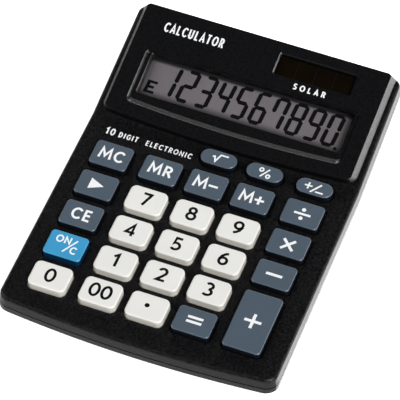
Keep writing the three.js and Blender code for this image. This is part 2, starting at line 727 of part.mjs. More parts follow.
const capacitor = addMesh(deck, "capacitor", turned([
  [0, 0], [1.7, 0], [2.0, 0.3], [2.0, 4.4], [1.7, 4.7], [0, 4.7]], 16), "steel");
capacitor.position.set(24, 70, PCB_BOTTOM - GAP);
capacitor.rotation.x = Math.PI;

const contactTop = PCB_BOTTOM - GAP;
const cellTop = contactTop - 0.2 - GAP;
const cell = BUTTON_CELL;
addMesh(deck, "cell_contact", post(cell.x, cell.v, 3.0, contactTop - 0.2, contactTop, 16), "steel");
addMesh(deck, "button_cell", turned([
  [0, -cell.thickness], [cell.radius - 0.4, -cell.thickness],
  [cell.radius, -cell.thickness + 0.4], [cell.radius, -0.6], [cell.radius - 0.8, -0.35],
  [cell.radius - 1.2, 0], [0, 0]], 20), "steel").position.set(cell.x, cell.v, cellTop);
addMesh(deck, "cell_clip", makeClip(), "steel");

addMesh(head, "solar_lead_red", leadGeometry([
  [12, 37.8, -0.05], [12, 37.6, -1.6], [12.6, 36.6, -5.6], [13.5, 32.5, -9.5],
  [14.5, 22, -11.2], [15, 12.5, -11.5]]), "wire_red");
addMesh(head, "solar_lead_black", leadGeometry([
  [28, 37.8, -0.05], [28, 37.6, -1.6], [27.4, 36.6, -5.6], [26.5, 32.5, -9.5],
  [25.5, 22, -11.2], [25, 12.5, -11.5]]), "wire_black");

for (const [place, spot, bossBottom, length] of [
  ["front", CASE_SCREWS_FRONT, FRONT_BOSS_BOTTOM, 4.0],
  ["rear", CASE_SCREWS_REAR, REAR_BOSS_BOTTOM, 8.0]]) {
  for (const [sideName, side] of [["left", -1], ["right", 1]]) {
    addMesh(calculator, `case_screw_${place}_${sideName}`,
      screwGeometry(1.9, 1.3, 1.0, length), "steel")
      .position.set(side * spot.x, spot.y, bossBottom - 1.7 - GAP);
  }
}

for (const [sideName, side] of [["left", -1], ["right", 1]]) {
  addMesh(deck, `board_screw_${sideName}`, screwGeometry(1.8, 1.0, 0.7, 4.6), "steel")
    .position.set(side * PCB_SCREW.x, PCB_SCREW.v, PCB_BOTTOM - GAP);
}

for (const [place, x, y] of FEET) {
  addMesh(calculator, `foot_${place}`, turned([
    [0, 0], [FOOT_RADIUS - 0.3, 0], [FOOT_RADIUS, 0.3], [FOOT_RADIUS, FOOT_HEIGHT],
    [0, FOOT_HEIGHT]], 18), "foot_rubber").position.set(x, y, 0);
}

export default calculator;
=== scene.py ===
# The looks of a desk calculator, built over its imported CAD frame.
# Lengths here are millimetres, turned into metres when a mesh is made.
import math

import bmesh
import bpy
from mathutils import Matrix, Vector


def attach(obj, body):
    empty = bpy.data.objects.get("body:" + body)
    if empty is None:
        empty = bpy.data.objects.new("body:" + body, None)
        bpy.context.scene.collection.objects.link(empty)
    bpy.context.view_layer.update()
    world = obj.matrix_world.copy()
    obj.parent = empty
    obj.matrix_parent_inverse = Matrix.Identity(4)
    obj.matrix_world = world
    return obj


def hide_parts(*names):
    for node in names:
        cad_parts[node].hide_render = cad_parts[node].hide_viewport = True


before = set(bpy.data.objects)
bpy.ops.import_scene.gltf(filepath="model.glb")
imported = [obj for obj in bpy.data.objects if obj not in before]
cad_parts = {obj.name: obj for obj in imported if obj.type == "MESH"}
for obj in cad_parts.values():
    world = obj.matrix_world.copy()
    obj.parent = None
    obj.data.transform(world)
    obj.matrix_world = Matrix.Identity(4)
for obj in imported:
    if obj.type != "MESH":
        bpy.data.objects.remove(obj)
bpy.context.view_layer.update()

MM = 0.001

# ---- dimensions
# These repeat the CAD model's own numbers, apart from JOINT_GAP, which is wider.
DECK_TILT = math.radians(5.6)
HEAD_TILT = math.radians(16.8)
DECK_FRONT_Z = 8.1
DECK_FRONT = -2.0
DECK_LENGTH = 83.6
HEAD_LENGTH = 46.3
HALF_FRONT = 49.7
HALF_FOLD = 49.2
HALF_REAR = 48.75
CASE_CENTRE = 0.2
SIDE_DRAFT = 0.4
FRONT_BOW = 2.7
FRONT_RADIUS = 4.2
REAR_RADIUS = 3.0
TOP_EDGE = 1.5
CASE_WALL = 1.8
CASE_DEPTH = 3.7
JOINT_GAP = 0.5

BLOCK_HEIGHT = 2.6
BLOCK_HALF_FACE = 45.3
BLOCK_HALF_BASE = 46.9
BLOCK_FRONT = 0.8
BLOCK_BOW = 1.95
BLOCK_CEILING = -0.4

BASE_Z = 0.9
COVER_WALL = 1.6
COVER_LIP = 2.0
COVER_TAPER = math.radians(20)

KEY_COLUMNS = [-34.95, -16.8, 0.0, 16.8, 34.95]
KEY_ROWS = [13.0, 26.6, 40.2, 53.8, 67.4, 79.3]
KEY_WIDTH = 13.8
KEY_DEPTH = 10.5
PILL_WIDTH = 13.3
PILL_DEPTH = 6.5
KEY_TOP = 2.3
KEY_HOLE_GAP = 0.35
FLANGE_EDGE = 0.75
FLANGE_TOP = -2.1
FLANGE_BOTTOM = -2.8

RIM_HALF = 39.7
RIM_CENTRE = 0.5
RIM_FRONT = 5.8
RIM_REAR = 28.5
RIM_BOW = 1.5
RECESS_FLOOR = 1.7
WINDOW_HALF = 37.15
WINDOW_CENTRE = 0.7
WINDOW_FRONT = 12.0
WINDOW_REAR = 28.1
SOLAR = (5.8, 34.3, 33.4, 42.0)
SOLAR_LEDGE = 0.15

FEET = {"front_left": (-37, 15), "front_right": (37, 15),
        "rear_left": (-28, 122), "rear_right": (28, 122)}
FOOT_RADIUS = 4.5
FOOT_HEIGHT = 1.4
# Each pair of screws: distance from the middle, y, and the boss's lower end.
CASE_SCREWS = {"front": (45.6, 21.0, 4.5), "rear": (38.5, 122.0, 14.0)}

# The clear lens and, under it, the display glass, in the head frame.
DISPLAY_GAP = 0.3
LENS_THICK = 0.8
GLASS_THICK = 1.6
GLASS_TOP = BLOCK_CEILING - DISPLAY_GAP - LENS_THICK - DISPLAY_GAP

# Printing: how far ink stands above its surface, and how deep a band of it is.
INK_LIFT = 0.02
INK_DEPTH = 0.05
STROKE_STEP = 0.004

# Finer shaping: edges, corners, drafts and the cover's inner floor.
BLOCK_EDGE = 0.35
BLOCK_CORNER = 1.9
BLOCK_BASE_CORNER = 4.6
COVER_FLOOR = 2.5
COVER_TOP = 60
KEY_DRAFT = -0.1
KEY_EDGE_WHITE = 0.65
KEY_EDGE_OTHER = 0.52
EDGE_STEPS = 8

# ---- frames
FOLD_Y = DECK_LENGTH * math.cos(DECK_TILT)
FOLD_Z = DECK_FRONT_Z + DECK_LENGTH * math.sin(DECK_TILT)
REAR_Y = FOLD_Y + HEAD_LENGTH * math.cos(HEAD_TILT)
REAR_Z = FOLD_Z + HEAD_LENGTH * math.sin(HEAD_TILT)


def rear_wall_y(z):
    return REAR_Y + (REAR_Z - z) * math.tan(HEAD_TILT)


FRONTMOST_Y = (DECK_FRONT - SIDE_DRAFT) * math.cos(DECK_TILT) + CASE_DEPTH * math.sin(DECK_TILT)
OFFSET_Y = -(FRONTMOST_Y + rear_wall_y(BASE_Z)) / 2
WORLD = Matrix.Translation((0, OFFSET_Y, 0))
DECK = WORLD @ Matrix.Translation((0, 0, DECK_FRONT_Z)) @ Matrix.Rotation(DECK_TILT, 4, "X")
HEAD = WORLD @ Matrix.Translation((0, FOLD_Y, FOLD_Z)) @ Matrix.Rotation(HEAD_TILT, 4, "X")


def surface_z(y, depth):
    """Height of the deck and shoulder surface at y, less a depth below it."""
    on_deck = DECK_FRONT_Z + y * math.tan(DECK_TILT) - depth / math.cos(DECK_TILT)
    on_head = FOLD_Z + (y - FOLD_Y) * math.tan(HEAD_TILT) - depth / math.cos(HEAD_TILT)
    return max(on_deck, on_head)


# ---- mesh building
def add_object(name, data):
    obj = bpy.data.objects.new(name, data)
    bpy.context.scene.collection.objects.link(obj)
    return obj


def make_object(name, points, faces, matrix=WORLD):
    """A mesh object from points in a frame's millimetres."""
    mesh = bpy.data.meshes.new(name)
    mesh.from_pydata([(matrix @ Vector(p)) * MM for p in points], [], faces)
    mesh.validate()
    return add_object(name, mesh)


def loft_data(rings, start=0):
    """Points and faces of a closed skin through rings, listed bottom up."""
    count = len(rings[0])
    points = [p for ring in rings for p in ring]
    faces = []
    for k in range(len(rings) - 1):
        for i in range(count):
            j = (i + 1) % count
            faces.append((k * count + i, k * count + j, (k + 1) * count + j, (k + 1) * count + i))
    faces.append(tuple(reversed(range(count))))
    top = (len(rings) - 1) * count
    faces.append(tuple(range(top, top + count)))
    return points, [tuple(start + i for i in face) for face in faces]


def loft(name, rings, matrix=WORLD):
    points, faces = loft_data(rings)
    return make_object(name, points, faces, matrix)


def arc(cx, cy, radius, start, end, steps):
    return [(cx + radius * math.cos(start + (end - start) * i / steps),
             cy + radius * math.sin(start + (end - start) * i / steps))
            for i in range(steps + 1)]


def outline(front, rear, half_front, half_rear, r_front, r_rear,
            bow=0.0, centre=0.0, stops=()):
    """A plan outline, anticlockwise, with a bowed front and rounded corners."""
    front_steps, corner_steps = 40, 10
    edge_x = half_front - r_front
    lean = math.atan(2 * bow * edge_x / half_front ** 2)
    end_x = edge_x + r_front * math.sin(lean)

    def front_at(x):
        return front + bow * (x / half_front) ** 2

    def half(y):
        return half_front + (half_rear - half_front) * (y - front) / (rear - front)

    arc_y = front_at(end_x) + r_front * math.cos(lean)
    steps = front_steps if bow > 0 else 1
    points = [(-end_x + 2 * end_x * i / steps, front_at(-end_x + 2 * end_x * i / steps))
              for i in range(steps + 1)]
    points += arc(edge_x, arc_y, r_front, lean - math.pi / 2, 0, corner_steps)[1:]
    points += [(half(y), y) for y in stops]
    points += arc(half_rear - r_rear, rear - r_rear, r_rear, 0, math.pi / 2, corner_steps)
    points += arc(r_rear - half_rear, rear - r_rear, r_rear, math.pi / 2, math.pi, corner_steps)
    points += [(-half(y), y) for y in reversed(stops)]
    points += arc(-edge_x, arc_y, r_front, math.pi, math.pi * 1.5 - lean, corner_steps)[:-1]
    return [(x + centre, y) for x, y in points]


def rounded_rect(cx, cy, width, depth, radius, corner_steps=8):
    hw, hd = width / 2 - radius, depth / 2 - radius
    points = []
    for sx, sy, start in ((1, -1, -0.5), (1, 1, 0), (-1, 1, 0.5), (-1, -1, 1)):
        points += arc(cx + sx * hw, cy + sy * hd, radius,
                      start * math.pi, (start + 0.5) * math.pi, corner_steps)
    return points


def at(h, points):
    return [(x, y, h) for x, y in points]


def rectangle(x0, x1, y0, y1):
    return [(x0, y0), (x1, y0), (x1, y1), (x0, y1)]


def circle(x, y, radius, sides):
    return [(x + radius * math.cos(2 * math.pi * i / sides),
             y + radius * math.sin(2 * math.pi * i / sides)) for i in range(sides)]


def turned(name, profile, x, y, z, sides=48):
    """A shape turned about an upright axis; profile is (radius, height) pairs."""
    return loft(name, [at(z + h, circle(x, y, r, sides)) for r, h in profile])


def cylinder(name, x, y, radius, z0, z1):
    return turned(name, [(radius, z0), (radius, z1)], x, y, 0, 40)


def flat_shape(points, faces, shape, height, depth):
    """Adds a thin raised shape, from a closed outline, to a mesh's lists."""
    start, count = len(points), len(shape)
    points += at(height, shape) + at(height - depth, shape)
    faces.append(tuple(range(start, start + count)))
    faces.append(tuple(reversed(range(start + count, start + 2 * count))))
    for i in range(count):
        j = (i + 1) % count
        faces.append((start + i, start + count + i, start + count + j, start + j))


def bake(obj):
    """Applies an object's modifiers to its mesh."""
    depsgraph = bpy.context.evaluated_depsgraph_get()
    mesh = bpy.data.meshes.new_from_object(obj.evaluated_get(depsgraph))
    old = obj.data
    obj.modifiers.clear()
    obj.data = mesh
    bpy.data.meshes.remove(old)
    return obj


def triangulate(obj):
    """Splits every face into triangles, which are exactly flat for a boolean."""
    mesh = bmesh.new()
    mesh.from_mesh(obj.data)
    bmesh.ops.triangulate(mesh, faces=mesh.faces[:])
    mesh.to_mesh(obj.data)
    mesh.free()


def combine(target, others, operation):
    """Joins to or cuts from target, and removes the other objects."""
    for other in others:
        triangulate(target)
        triangulate(other)
        modifier = target.modifiers.new(operation, "BOOLEAN")
        modifier.object = other
        modifier.operation = operation
        modifier.solver = "MANIFOLD"
        bake(target)
        bpy.data.objects.remove(other)
    return target


def dress(obj, *materials):
    """Gives an object these materials and no others."""
    obj.data.materials.clear()
    for material in materials:
        obj.data.materials.append(material)


def smooth(obj, angle=32):
    """Rounded surfaces shade smoothly while flat faces stay flat."""
    obj.data.polygons.foreach_set("use_smooth", [True] * len(obj.data.polygons))
    obj.data.set_sharp_from_angle(angle=math.radians(angle))
    normals = obj.modifiers.new("normals", "WEIGHTED_NORMAL")
    normals.keep_sharp = True
    normals.weight = 100
    return obj


# ---- materials
def set_inputs(node, values):
    for name, value in values.items():
        node.inputs[name].default_value = value


def add_node(shader, kind, values):
    """A new node in a shader's tree, with these input values."""
    node = shader.id_data.nodes.new(kind)
    set_inputs(node, values)
    return node


def link(source, node, name):
    node.id_data.links.new(source, node.inputs[name])


def shader_of(material):
    return material.node_tree.nodes["Principled BSDF"]


def new_material(name, color, roughness, metallic=0.0):
    material = bpy.data.materials.new(name)
    material.use_nodes = True
    shader = shader_of(material)
    set_inputs(shader, {"Base Color": (*color, 1), "Roughness": roughness, "Metallic": metallic})
    return material, shader


def add_noise(shader, scale, detail, stretch=None):
    source = add_node(shader, "ShaderNodeTexCoord", {}).outputs["Object"]
    if stretch:
        mapping = add_node(shader, "ShaderNodeMapping", {"Scale": stretch})
        link(source, mapping, "Vector")
        source = mapping.outputs["Vector"]
    noise = add_node(shader, "ShaderNodeTexNoise", {"Scale": scale, "Detail": detail})
    link(source, noise, "Vector")
    return noise.outputs["Fac"]


def add_ramp(shader, source, low, high):
    """Stretches the middle of a noise value's range to run between two limits."""
    ramp = add_node(shader, "ShaderNodeMapRange",
                    {"From Min": 0.3, "From Max": 0.7, "To Min": low, "To Max": high})
    link(source, ramp, "Value")
    return ramp.outputs["Result"]


def add_mix(shader, factor):
    """A node that mixes colours A and B by a factor."""
    mix = add_node(shader, "ShaderNodeMix", {})
    mix.data_type = "RGBA"
    link(factor, mix, "Factor")
    return mix


def vary_color(shader, source, dark, light):
    """Colours a shader between two limits, and returns the colour's socket."""
    mix = add_mix(shader, add_ramp(shader, source, 0.0, 1.0))
    set_inputs(mix, {"A": (*dark, 1), "B": (*light, 1)})
    link(mix.outputs["Result"], shader, "Base Color")
    return mix.outputs["Result"]


def spread_color(shader, source, color, spread):
    """Colours a shader a share lighter and darker than one colour."""
    vary_color(shader, source, [c * (1 - spread) for c in color],
               [min(c * (1 + spread), 1) for c in color])


def vary_gloss(shader, source, roughness, below, above):
    link(add_ramp(shader, source, roughness - below, roughness + above), shader, "Roughness")


def add_bump(shader, source, strength, distance):
    bump = add_node(shader, "ShaderNodeBump", {"Strength": strength, "Distance": distance * MM})
    link(source, bump, "Height")
    link(bump.outputs["Normal"], shader, "Normal")


def plastic(name, color, roughness, spread, grain, depth):
    """Moulded plastic: slight colour variation, uneven gloss and a fine grain."""
    material, shader = new_material(name, color, roughness)
    spread_color(shader, add_noise(shader, 90, 4), color, spread)
    fine = add_noise(shader, grain, 2)
    vary_gloss(shader, fine, roughness, 0.06, 0.06)
    add_bump(shader, fine, 0.6, depth)
    return material


def case_plastic(name, roughness, depth, spread, specular, coat=0.0):
    """The black case; spread and depth set its grain, specular and coat its gloss. A large spread
    is painted sparkle, glints of the grain painted into the colour.
    """
    material, shader = new_material(name, CASE_BLACK, roughness)
    grain = add_noise(shader, 1300, 3)
    # Colour speckle on the grain: painted sparkle, standing in for glints; the bump below is the
    # real grain.
    spread_color(shader, grain, CASE_BLACK, spread)
    vary_gloss(shader, grain, roughness, 0.09, 0.09)
    add_bump(shader, grain, 0.8, depth)
    set_inputs(shader, {"Specular IOR Level": specular, "Coat Weight": coat,
                        "Coat Roughness": 0.16})
    return material


def key_plastic(name, color, spread=0.05):
    """Key plastic: fine grained, with a soft polish that the edges catch."""
    material = plastic(name, color, 0.4, spread, 2200, 0.005)
    set_inputs(shader_of(material), {"Coat Weight": 0.35, "Coat Roughness": 0.14})
    return material


def lcd_material():
    """Grey display glass, painted darker along its edges as if the frame shaded it."""
    material, shader = new_material("lcd_glass", (0.17, 0.155, 0.165), 0.3)
    color = vary_color(shader, add_noise(shader, 45, 2), (0.180, 0.163, 0.174),
                       (0.205, 0.187, 0.199))
    split = add_node(shader, "ShaderNodeSeparateXYZ", {})
    link(add_node(shader, "ShaderNodeTexCoord", {}).outputs["Object"], split, 0)
    rear_y = (HEAD @ Vector((0, WINDOW_REAR, GLASS_TOP))).y * MM
    front_y = (HEAD @ Vector((0, WINDOW_FRONT, GLASS_TOP))).y * MM
    # Each edge: the axis, where its shade starts and is full, and how dark it is.
    for axis, start, end, strength in (
            ("Y", rear_y - 0.0016, rear_y - 0.0004, 0.93),
            ("Y", front_y + 0.0042, front_y + 0.0012, 0.72),
            ("X", 0.0340, 0.0372, 0.3),
            ("X", -0.0345, -0.0364, 0.35)):
        edge = add_node(shader, "ShaderNodeMapRange",
                        {"From Min": start, "From Max": end, "To Max": strength})
        edge.interpolation_type = "SMOOTHSTEP"
        link(split.outputs[axis], edge, "Value")
        dim = add_mix(shader, edge.outputs["Result"])
        set_inputs(dim, {"B": (0.004, 0.004, 0.0045, 1)})
        link(color, dim, "A")
        color = dim.outputs["Result"]
    link(color, shader, "Base Color")
    set_inputs(shader, {"Specular IOR Level": 0.15})
    add_bump(shader, add_noise(shader, 5000, 1), 0.4, 0.002)
    return material


def segment_material(name, color):
    material, shader = new_material(name, color, 0.5)
    spread_color(shader, add_noise(shader, 200, 2), color, 0.1)
    set_inputs(shader, {"Specular IOR Level": 0.1})
    return material


def window_material():
    """Thin clear sheet: it darkens a little what is behind it."""
    material, shader = new_material("clear_window", (0.02, 0.02, 0.022), 0.06)
    vary_color(shader, add_noise(shader, 40, 2), (0.018, 0.018, 0.02), (0.022, 0.022, 0.025))
    set_inputs(shader, {"Alpha": 0.08, "IOR": 1.49})
    add_bump(shader, add_noise(shader, 60, 2), 0.2, 0.002)
    return material


def solar_material():
    """Dark brown cell, barely uneven, under a smooth face."""
    material, shader = new_material("solar_cell", (0.0045, 0.0028, 0.0012), 0.12)
    vary_color(shader, add_noise(shader, 160, 3), (0.0036, 0.0022, 0.0009),
               (0.0054, 0.0033, 0.0015))
    set_inputs(shader, {"Specular IOR Level": 0.12})
    return material


def metal(name, color, roughness):
    """Brushed metal."""
    material, shader = new_material(name, color, roughness, 1.0)
    brushed = add_noise(shader, 900, 3, (1, 0.15, 1))
    vary_gloss(shader, brushed, roughness, 0.08, 0.1)
    vary_color(shader, brushed, [c * 0.85 for c in color], [min(c * 1.1, 1) for c in color])
    add_bump(shader, brushed, 0.3, 0.01)
    return material


CASE_BLACK = (0.0036, 0.0037, 0.0043)
# The third number, the colour spread, is painted sparkle where it is large: glints of the grain
# painted into the colour.
CASE_GRAIN_AND_SPARKLE = case_plastic("case_grain_and_sparkle", 0.4, 0.2, 0.95, 0.21)
CASE_SMOOTH = case_plastic("case_smooth", 0.34, 0.008, 0.12, 0.19)
CASE_SIDE = case_plastic("case_side", 0.4, 0.1, 0.6, 0.6, 1.0)
CASE_BEVEL = case_plastic("case_bevel", 0.42, 0.3, 0.8, 0.95, 0.85)
# Each key's side colour is a darker copy of its top's colour: painted shade on the key sides.
KEY_WHITE = key_plastic("key_white", (0.765, 0.76, 0.73), 0.02)
KEY_WHITE_SHADED_SIDE = key_plastic("key_white_shaded_side", (0.73, 0.70, 0.63), 0.03)
KEY_SLATE = key_plastic("key_slate", (0.068, 0.095, 0.124))
KEY_SLATE_SHADED_SIDE = key_plastic("key_slate_shaded_side", (0.0022, 0.0035, 0.0065), 0.1)
KEY_BLUE = key_plastic("key_blue", (0.042, 0.300, 0.55))
KEY_BLUE_SHADED_SIDE = key_plastic("key_blue_shaded_side", (0.001, 0.025, 0.07), 0.1)
PRINT_WHITE = plastic("print_white", (0.84, 0.85, 0.86), 0.5, 0.02, 2500, 0.003)
PRINT_BLACK = plastic("print_black", (0.003, 0.003, 0.0035), 0.5, 0.05, 2500, 0.003)
set_inputs(shader_of(PRINT_BLACK), {"Specular IOR Level": 0.12})
FOOT_RUBBER = plastic("foot_rubber", (0.012, 0.012, 0.013), 0.85, 0.15, 1500, 0.03)
LCD_GREY = lcd_material()
LCD_INK = segment_material("lcd_ink", (0.0012, 0.0012, 0.0014))
WINDOW_CLEAR = window_material()
SOLAR_BROWN = solar_material()
SOLAR_LINE = plastic("solar_line", (0.0056, 0.0036, 0.0018), 0.35, 0.1, 2500, 0.003)
STEEL = metal("steel", (0.52, 0.53, 0.54), 0.32)


# ---- top case
def slab_rings(ring, top, bottom):
    """Rings of a slab with drafted sides and a rounded top edge."""
    rings = [ring(bottom, SIDE_DRAFT)]
    for k in range(EDGE_STEPS + 1):
        angle = math.radians(90 * k / EDGE_STEPS)
        rings.append(ring(top - TOP_EDGE * (1 - math.sin(angle)),
                          -TOP_EDGE * (1 - math.cos(angle))))
    return rings


def deck_ring(h, grow, inset=0.0):
    return at(h, outline(DECK_FRONT + inset - grow, DECK_LENGTH + 5, HALF_FRONT - inset + grow,
                         HALF_FOLD - inset + grow, FRONT_RADIUS - inset * 0.8 + grow, 0.5,
                         bow=FRONT_BOW, centre=CASE_CENTRE))


def head_ring(h, grow, inset=0.0):
    return at(h, outline(-3, HEAD_LENGTH - inset + grow, HALF_FOLD - inset + grow,
                         HALF_REAR - inset + grow, 0.5, REAR_RADIUS - inset * 0.8 + grow,
                         centre=CASE_CENTRE))


def block_ring(h, half, front, rear, radius):
    return at(h, outline(front, rear, half, half, radius, 1.4, bow=BLOCK_BOW))


def block_rings():
    """The raised block; its front corners are rounder at the base than the face."""
    rings = [block_ring(-1.0, BLOCK_HALF_BASE + 0.7, BLOCK_FRONT - 0.15, HEAD_LENGTH,
                        BLOCK_BASE_CORNER)]
    # The rounding starts 30 degrees up, where it meets the sloping side.
    for k in range(7):
        angle = math.radians(30 + 60 * k / 6)
        pull = BLOCK_EDGE * (1 - math.cos(angle))
        rings.append(block_ring(BLOCK_HEIGHT - BLOCK_EDGE * (1 - math.sin(angle)),
                                BLOCK_HALF_FACE + 0.2 - pull * 1.4,
                                BLOCK_FRONT + pull * 0.7,
                                HEAD_LENGTH - 0.12 - pull, BLOCK_CORNER - pull * 1.4))
    return rings


def display_cut():
    """Recess with sloping sides and a bevelled front, and the window opening."""
    def rim(inset, front_inset, h):
        return at(h, outline(RIM_FRONT + front_inset, RIM_REAR - inset * 0.4,
                             RIM_HALF - inset, RIM_HALF - inset,
                             2.2 - inset * 0.5, 1.0, bow=RIM_BOW, centre=RIM_CENTRE))

    def opening(side, grow, h):
        return at(h, rounded_rect(WINDOW_CENTRE, (WINDOW_FRONT + WINDOW_REAR) / 2,
                                  2 * (WINDOW_HALF + side),
                                  WINDOW_REAR - WINDOW_FRONT + 2 * grow, 0.6 + grow))

    recess = loft("recess", [
        rim(0.66, 2.0, RECESS_FLOOR),
        rim(0.62, 1.9, RECESS_FLOOR + 0.03),
        rim(0.58, 1.75, RECESS_FLOOR + 0.1),
        rim(0.36, 0.34, BLOCK_HEIGHT - 0.4),
        rim(0.05, 0.06, BLOCK_HEIGHT - 0.03),
        rim(0.0, 0.0, BLOCK_HEIGHT + 0.02),
        rim(0.0, 0.0, BLOCK_HEIGHT + 0.5)], HEAD)
    window = loft("window", [
        opening(0, 0, BLOCK_CEILING - 1),
        opening(0, 0, RECESS_FLOOR - 1.3),
        opening(0.2, 0, RECESS_FLOOR - 0.6),
        opening(0.64, 0.1, RECESS_FLOOR - 0.08),
        opening(0.76, 0.2, RECESS_FLOOR + 0.02),
        opening(0.76, 0.2, RECESS_FLOOR + 0.3)], HEAD)
    return [recess, window]


def solar_cut():
    """Pocket for the solar cell, with a ledge that is open in its middle."""
    x0, x1, w0, w1 = SOLAR

    def pocket(inset, h):
        return at(h, rounded_rect((x0 + x1) / 2, (w0 + w1) / 2, x1 - x0 - 2 * inset,
                                  w1 - w0 - 2 * inset, max(0.6 - inset * 0.2, 0.3)))

    return [loft("solar_pocket", [
        pocket(1.4, BLOCK_CEILING - 1),
        pocket(1.4, SOLAR_LEDGE),
        pocket(0.35, SOLAR_LEDGE + 0.001),
        pocket(0.24, BLOCK_HEIGHT - 0.46),
        pocket(-0.16, BLOCK_HEIGHT + 0.01),
        pocket(-0.16, BLOCK_HEIGHT + 0.5)], HEAD)]


def key_outline(key, grow):
    pill = key["style"] == "pill"
    corner = max((2.2 if key["style"] == "white" else 1.5) + grow * 0.8, 0.4)
    radius = key["depth"] / 2 + grow - 0.05 if pill else corner
    return rounded_rect(0, 0, key["width"] + 2 * grow, key["depth"] + 2 * grow, radius,
                        14 if pill else 8)


def key_holes(keys):
    """One object of all the key apertures, each flared a little at the deck."""
    points, faces = [], []
    for key in keys:
        rings = [[(x + key["u"], y + key["v"], h) for x, y in key_outline(key, grow)]
                 for h, grow in ((-4, KEY_HOLE_GAP), (-0.3, KEY_HOLE_GAP),
                                 (-0.09, KEY_HOLE_GAP + 0.06), (0.02, KEY_HOLE_GAP + 0.24),
                                 (1, KEY_HOLE_GAP + 0.24))]
        ring_points, ring_faces = loft_data(rings, len(points))
        points += ring_points
        faces += ring_faces
    return make_object("key_holes", points, faces, DECK)


def below_joint(depth):
    """Two overlapping boxes that fill everything below the joint line."""
    side, rear = 90, 190
    boxes = []
    for matrix in (DECK, HEAD):
        rings = [at(h, rectangle(-side, side, -side, rear)) for h in (-side, -depth)]
        boxes.append(loft("below", rings, matrix))
    return boxes


def paint_by_plane(obj, test):
    """Gives each face the material index that test(centre, normal) returns."""
    for polygon in obj.data.polygons:
        polygon.material_index = test(polygon.center / MM, polygon.normal)


def build_top_case(keys):
    case = loft("case_top", slab_rings(deck_ring, 0, -CASE_DEPTH), DECK)
    head = loft("head_slab", slab_rings(head_ring, 0, -CASE_DEPTH), HEAD)
    block = loft("head_block", block_rings(), HEAD)
    combine(case, [head, block], "UNION")
    combine(case, below_joint(CASE_DEPTH), "DIFFERENCE")
    below = -14
    cavity = [loft("cavity", [ring(h, 0, CASE_WALL) for h in (below, -CASE_WALL)], matrix)
              for ring, matrix in ((deck_ring, DECK), (head_ring, HEAD))]
    inside = outline(BLOCK_FRONT + 2, HEAD_LENGTH - CASE_WALL, 43.4, 43.4, 2, 2)
    cavity.append(loft("cavity", [at(h, inside) for h in (below, BLOCK_CEILING)], HEAD))
    combine(case, cavity, "DIFFERENCE")
    combine(case, [key_holes(keys), *display_cut(), *solar_cut()], "DIFFERENCE")
    dress(case, CASE_GRAIN_AND_SPARKLE, CASE_SMOOTH, CASE_SIDE, CASE_BEVEL)
    to_head = HEAD.inverted()
    deck_part, face_part, side_part, gloss_part = range(4)

    def region(centre, normal):
        """Which of the case's materials a face takes, by where it is and how it faces."""
        local = to_head @ centre
        raised = local.z > 0.05 and local.y > BLOCK_FRONT - 0.5
        if abs(normal.x) > 0.9 and abs(local.x) > HALF_REAR - 1.5:
            return side_part
        # Glossier: the block's right bevel, the pocket's left wall, the recess's left
        # wall and front slope. The photograph shows highlights on these.
        if raised and local.x > BLOCK_HALF_FACE - 0.4 and 0.6 < normal.x < 0.95:
            return gloss_part
        in_solar = (abs(local.x - SOLAR[0]) < 0.6 and SOLAR[2] < local.y < SOLAR[3]
                    and local.z > 1.0)
        if in_solar and normal.x > 0.3:
            return gloss_part
        across = abs(local.x - RIM_CENTRE)
        in_rim = RIM_FRONT - 0.6 < local.y < RIM_REAR + 0.4 and across < RIM_HALF + 0.2
        if in_rim and local.z > 0 and (normal.x > 0.3 or (to_head.to_3x3() @ normal).y > 0.25):
            return gloss_part
        return face_part if raised and abs(local.x) < BLOCK_HALF_FACE + 0.5 else deck_part

    paint_by_plane(case, region)
    smooth(case)
    return case


# ---- rear cover
COVER_STOPS = (30, 50, 68, FOLD_Y, 96, 110)


def cover_outline(z, inset):
    lip_y = DECK_FRONT - SIDE_DRAFT + (CASE_DEPTH + JOINT_GAP) * math.sin(DECK_TILT)
    return outline(lip_y + inset, rear_wall_y(z) - inset,
                   HALF_FRONT + SIDE_DRAFT - inset, HALF_REAR + SIDE_DRAFT - inset,
                   max(FRONT_RADIUS + SIDE_DRAFT - inset * 0.8, 1),
                   max(REAR_RADIUS + SIDE_DRAFT - inset * 0.8, 1),
                   bow=FRONT_BOW, centre=CASE_CENTRE, stops=COVER_STOPS)


def cover_body(name, wall):
    """The cover's solid shape, or with a wall thickness the hollow inside it."""
    base_z = COVER_FLOOR if wall > 0 else BASE_Z
    extra = 1.2 if wall > 0 else 0.0
    lip = cover_outline(COVER_TOP, wall)
    base = cover_outline(base_z, wall)
    lip_ring = []
    for i in range(len(lip)):
        y = min(base[i][1], REAR_Y)
        z = max(surface_z(y, CASE_DEPTH + JOINT_GAP + COVER_LIP + extra),
                BASE_Z + 0.55 + extra)
        x, lip_y = cover_outline(z, wall)[i]
        lip_ring.append((x, lip_y, z))
    base_ring = []
    for (x, y), lip_point in zip(base, lip_ring):
        # The sides taper in by how far they rise; the front edge is set back a little.
        rise = max(lip_point[2] - base_z, 0.4)
        pull = min(0.3 + rise * math.tan(COVER_TAPER), 9)
        near = min(max((y - DECK_FRONT) / (9 - DECK_FRONT), 0), 1)
        near_front = 1 - near * near * (3 - 2 * near)
        reach = abs(x - CASE_CENTRE)
        side = math.copysign(min(pull, reach), x - CASE_CENTRE) * reach / HALF_FRONT
        base_ring.append((x - side, y + near_front * 0.7, base_z))
    top_ring = at(COVER_TOP, lip)
    if wall > 0:
        return loft(name, [base_ring, lip_ring, top_ring])
    # The outer base edge is rounded over half a millimetre.
    soft = []
    for share, lift in ((1.0, 0.0), (0.965, 0.06), (0.94, 0.2), (0.925, 0.42)):
        soft.append([(b[0] + (l[0] - b[0]) * (1 - share) * 0.9,
                      b[1] + (l[1] - b[1]) * (1 - share) * 0.9,
                      b[2] + min(lift, (l[2] - b[2]) * 0.6))
                     for b, l in zip(base_ring, lip_ring)])
    return loft(name, [*soft, lip_ring, top_ring])


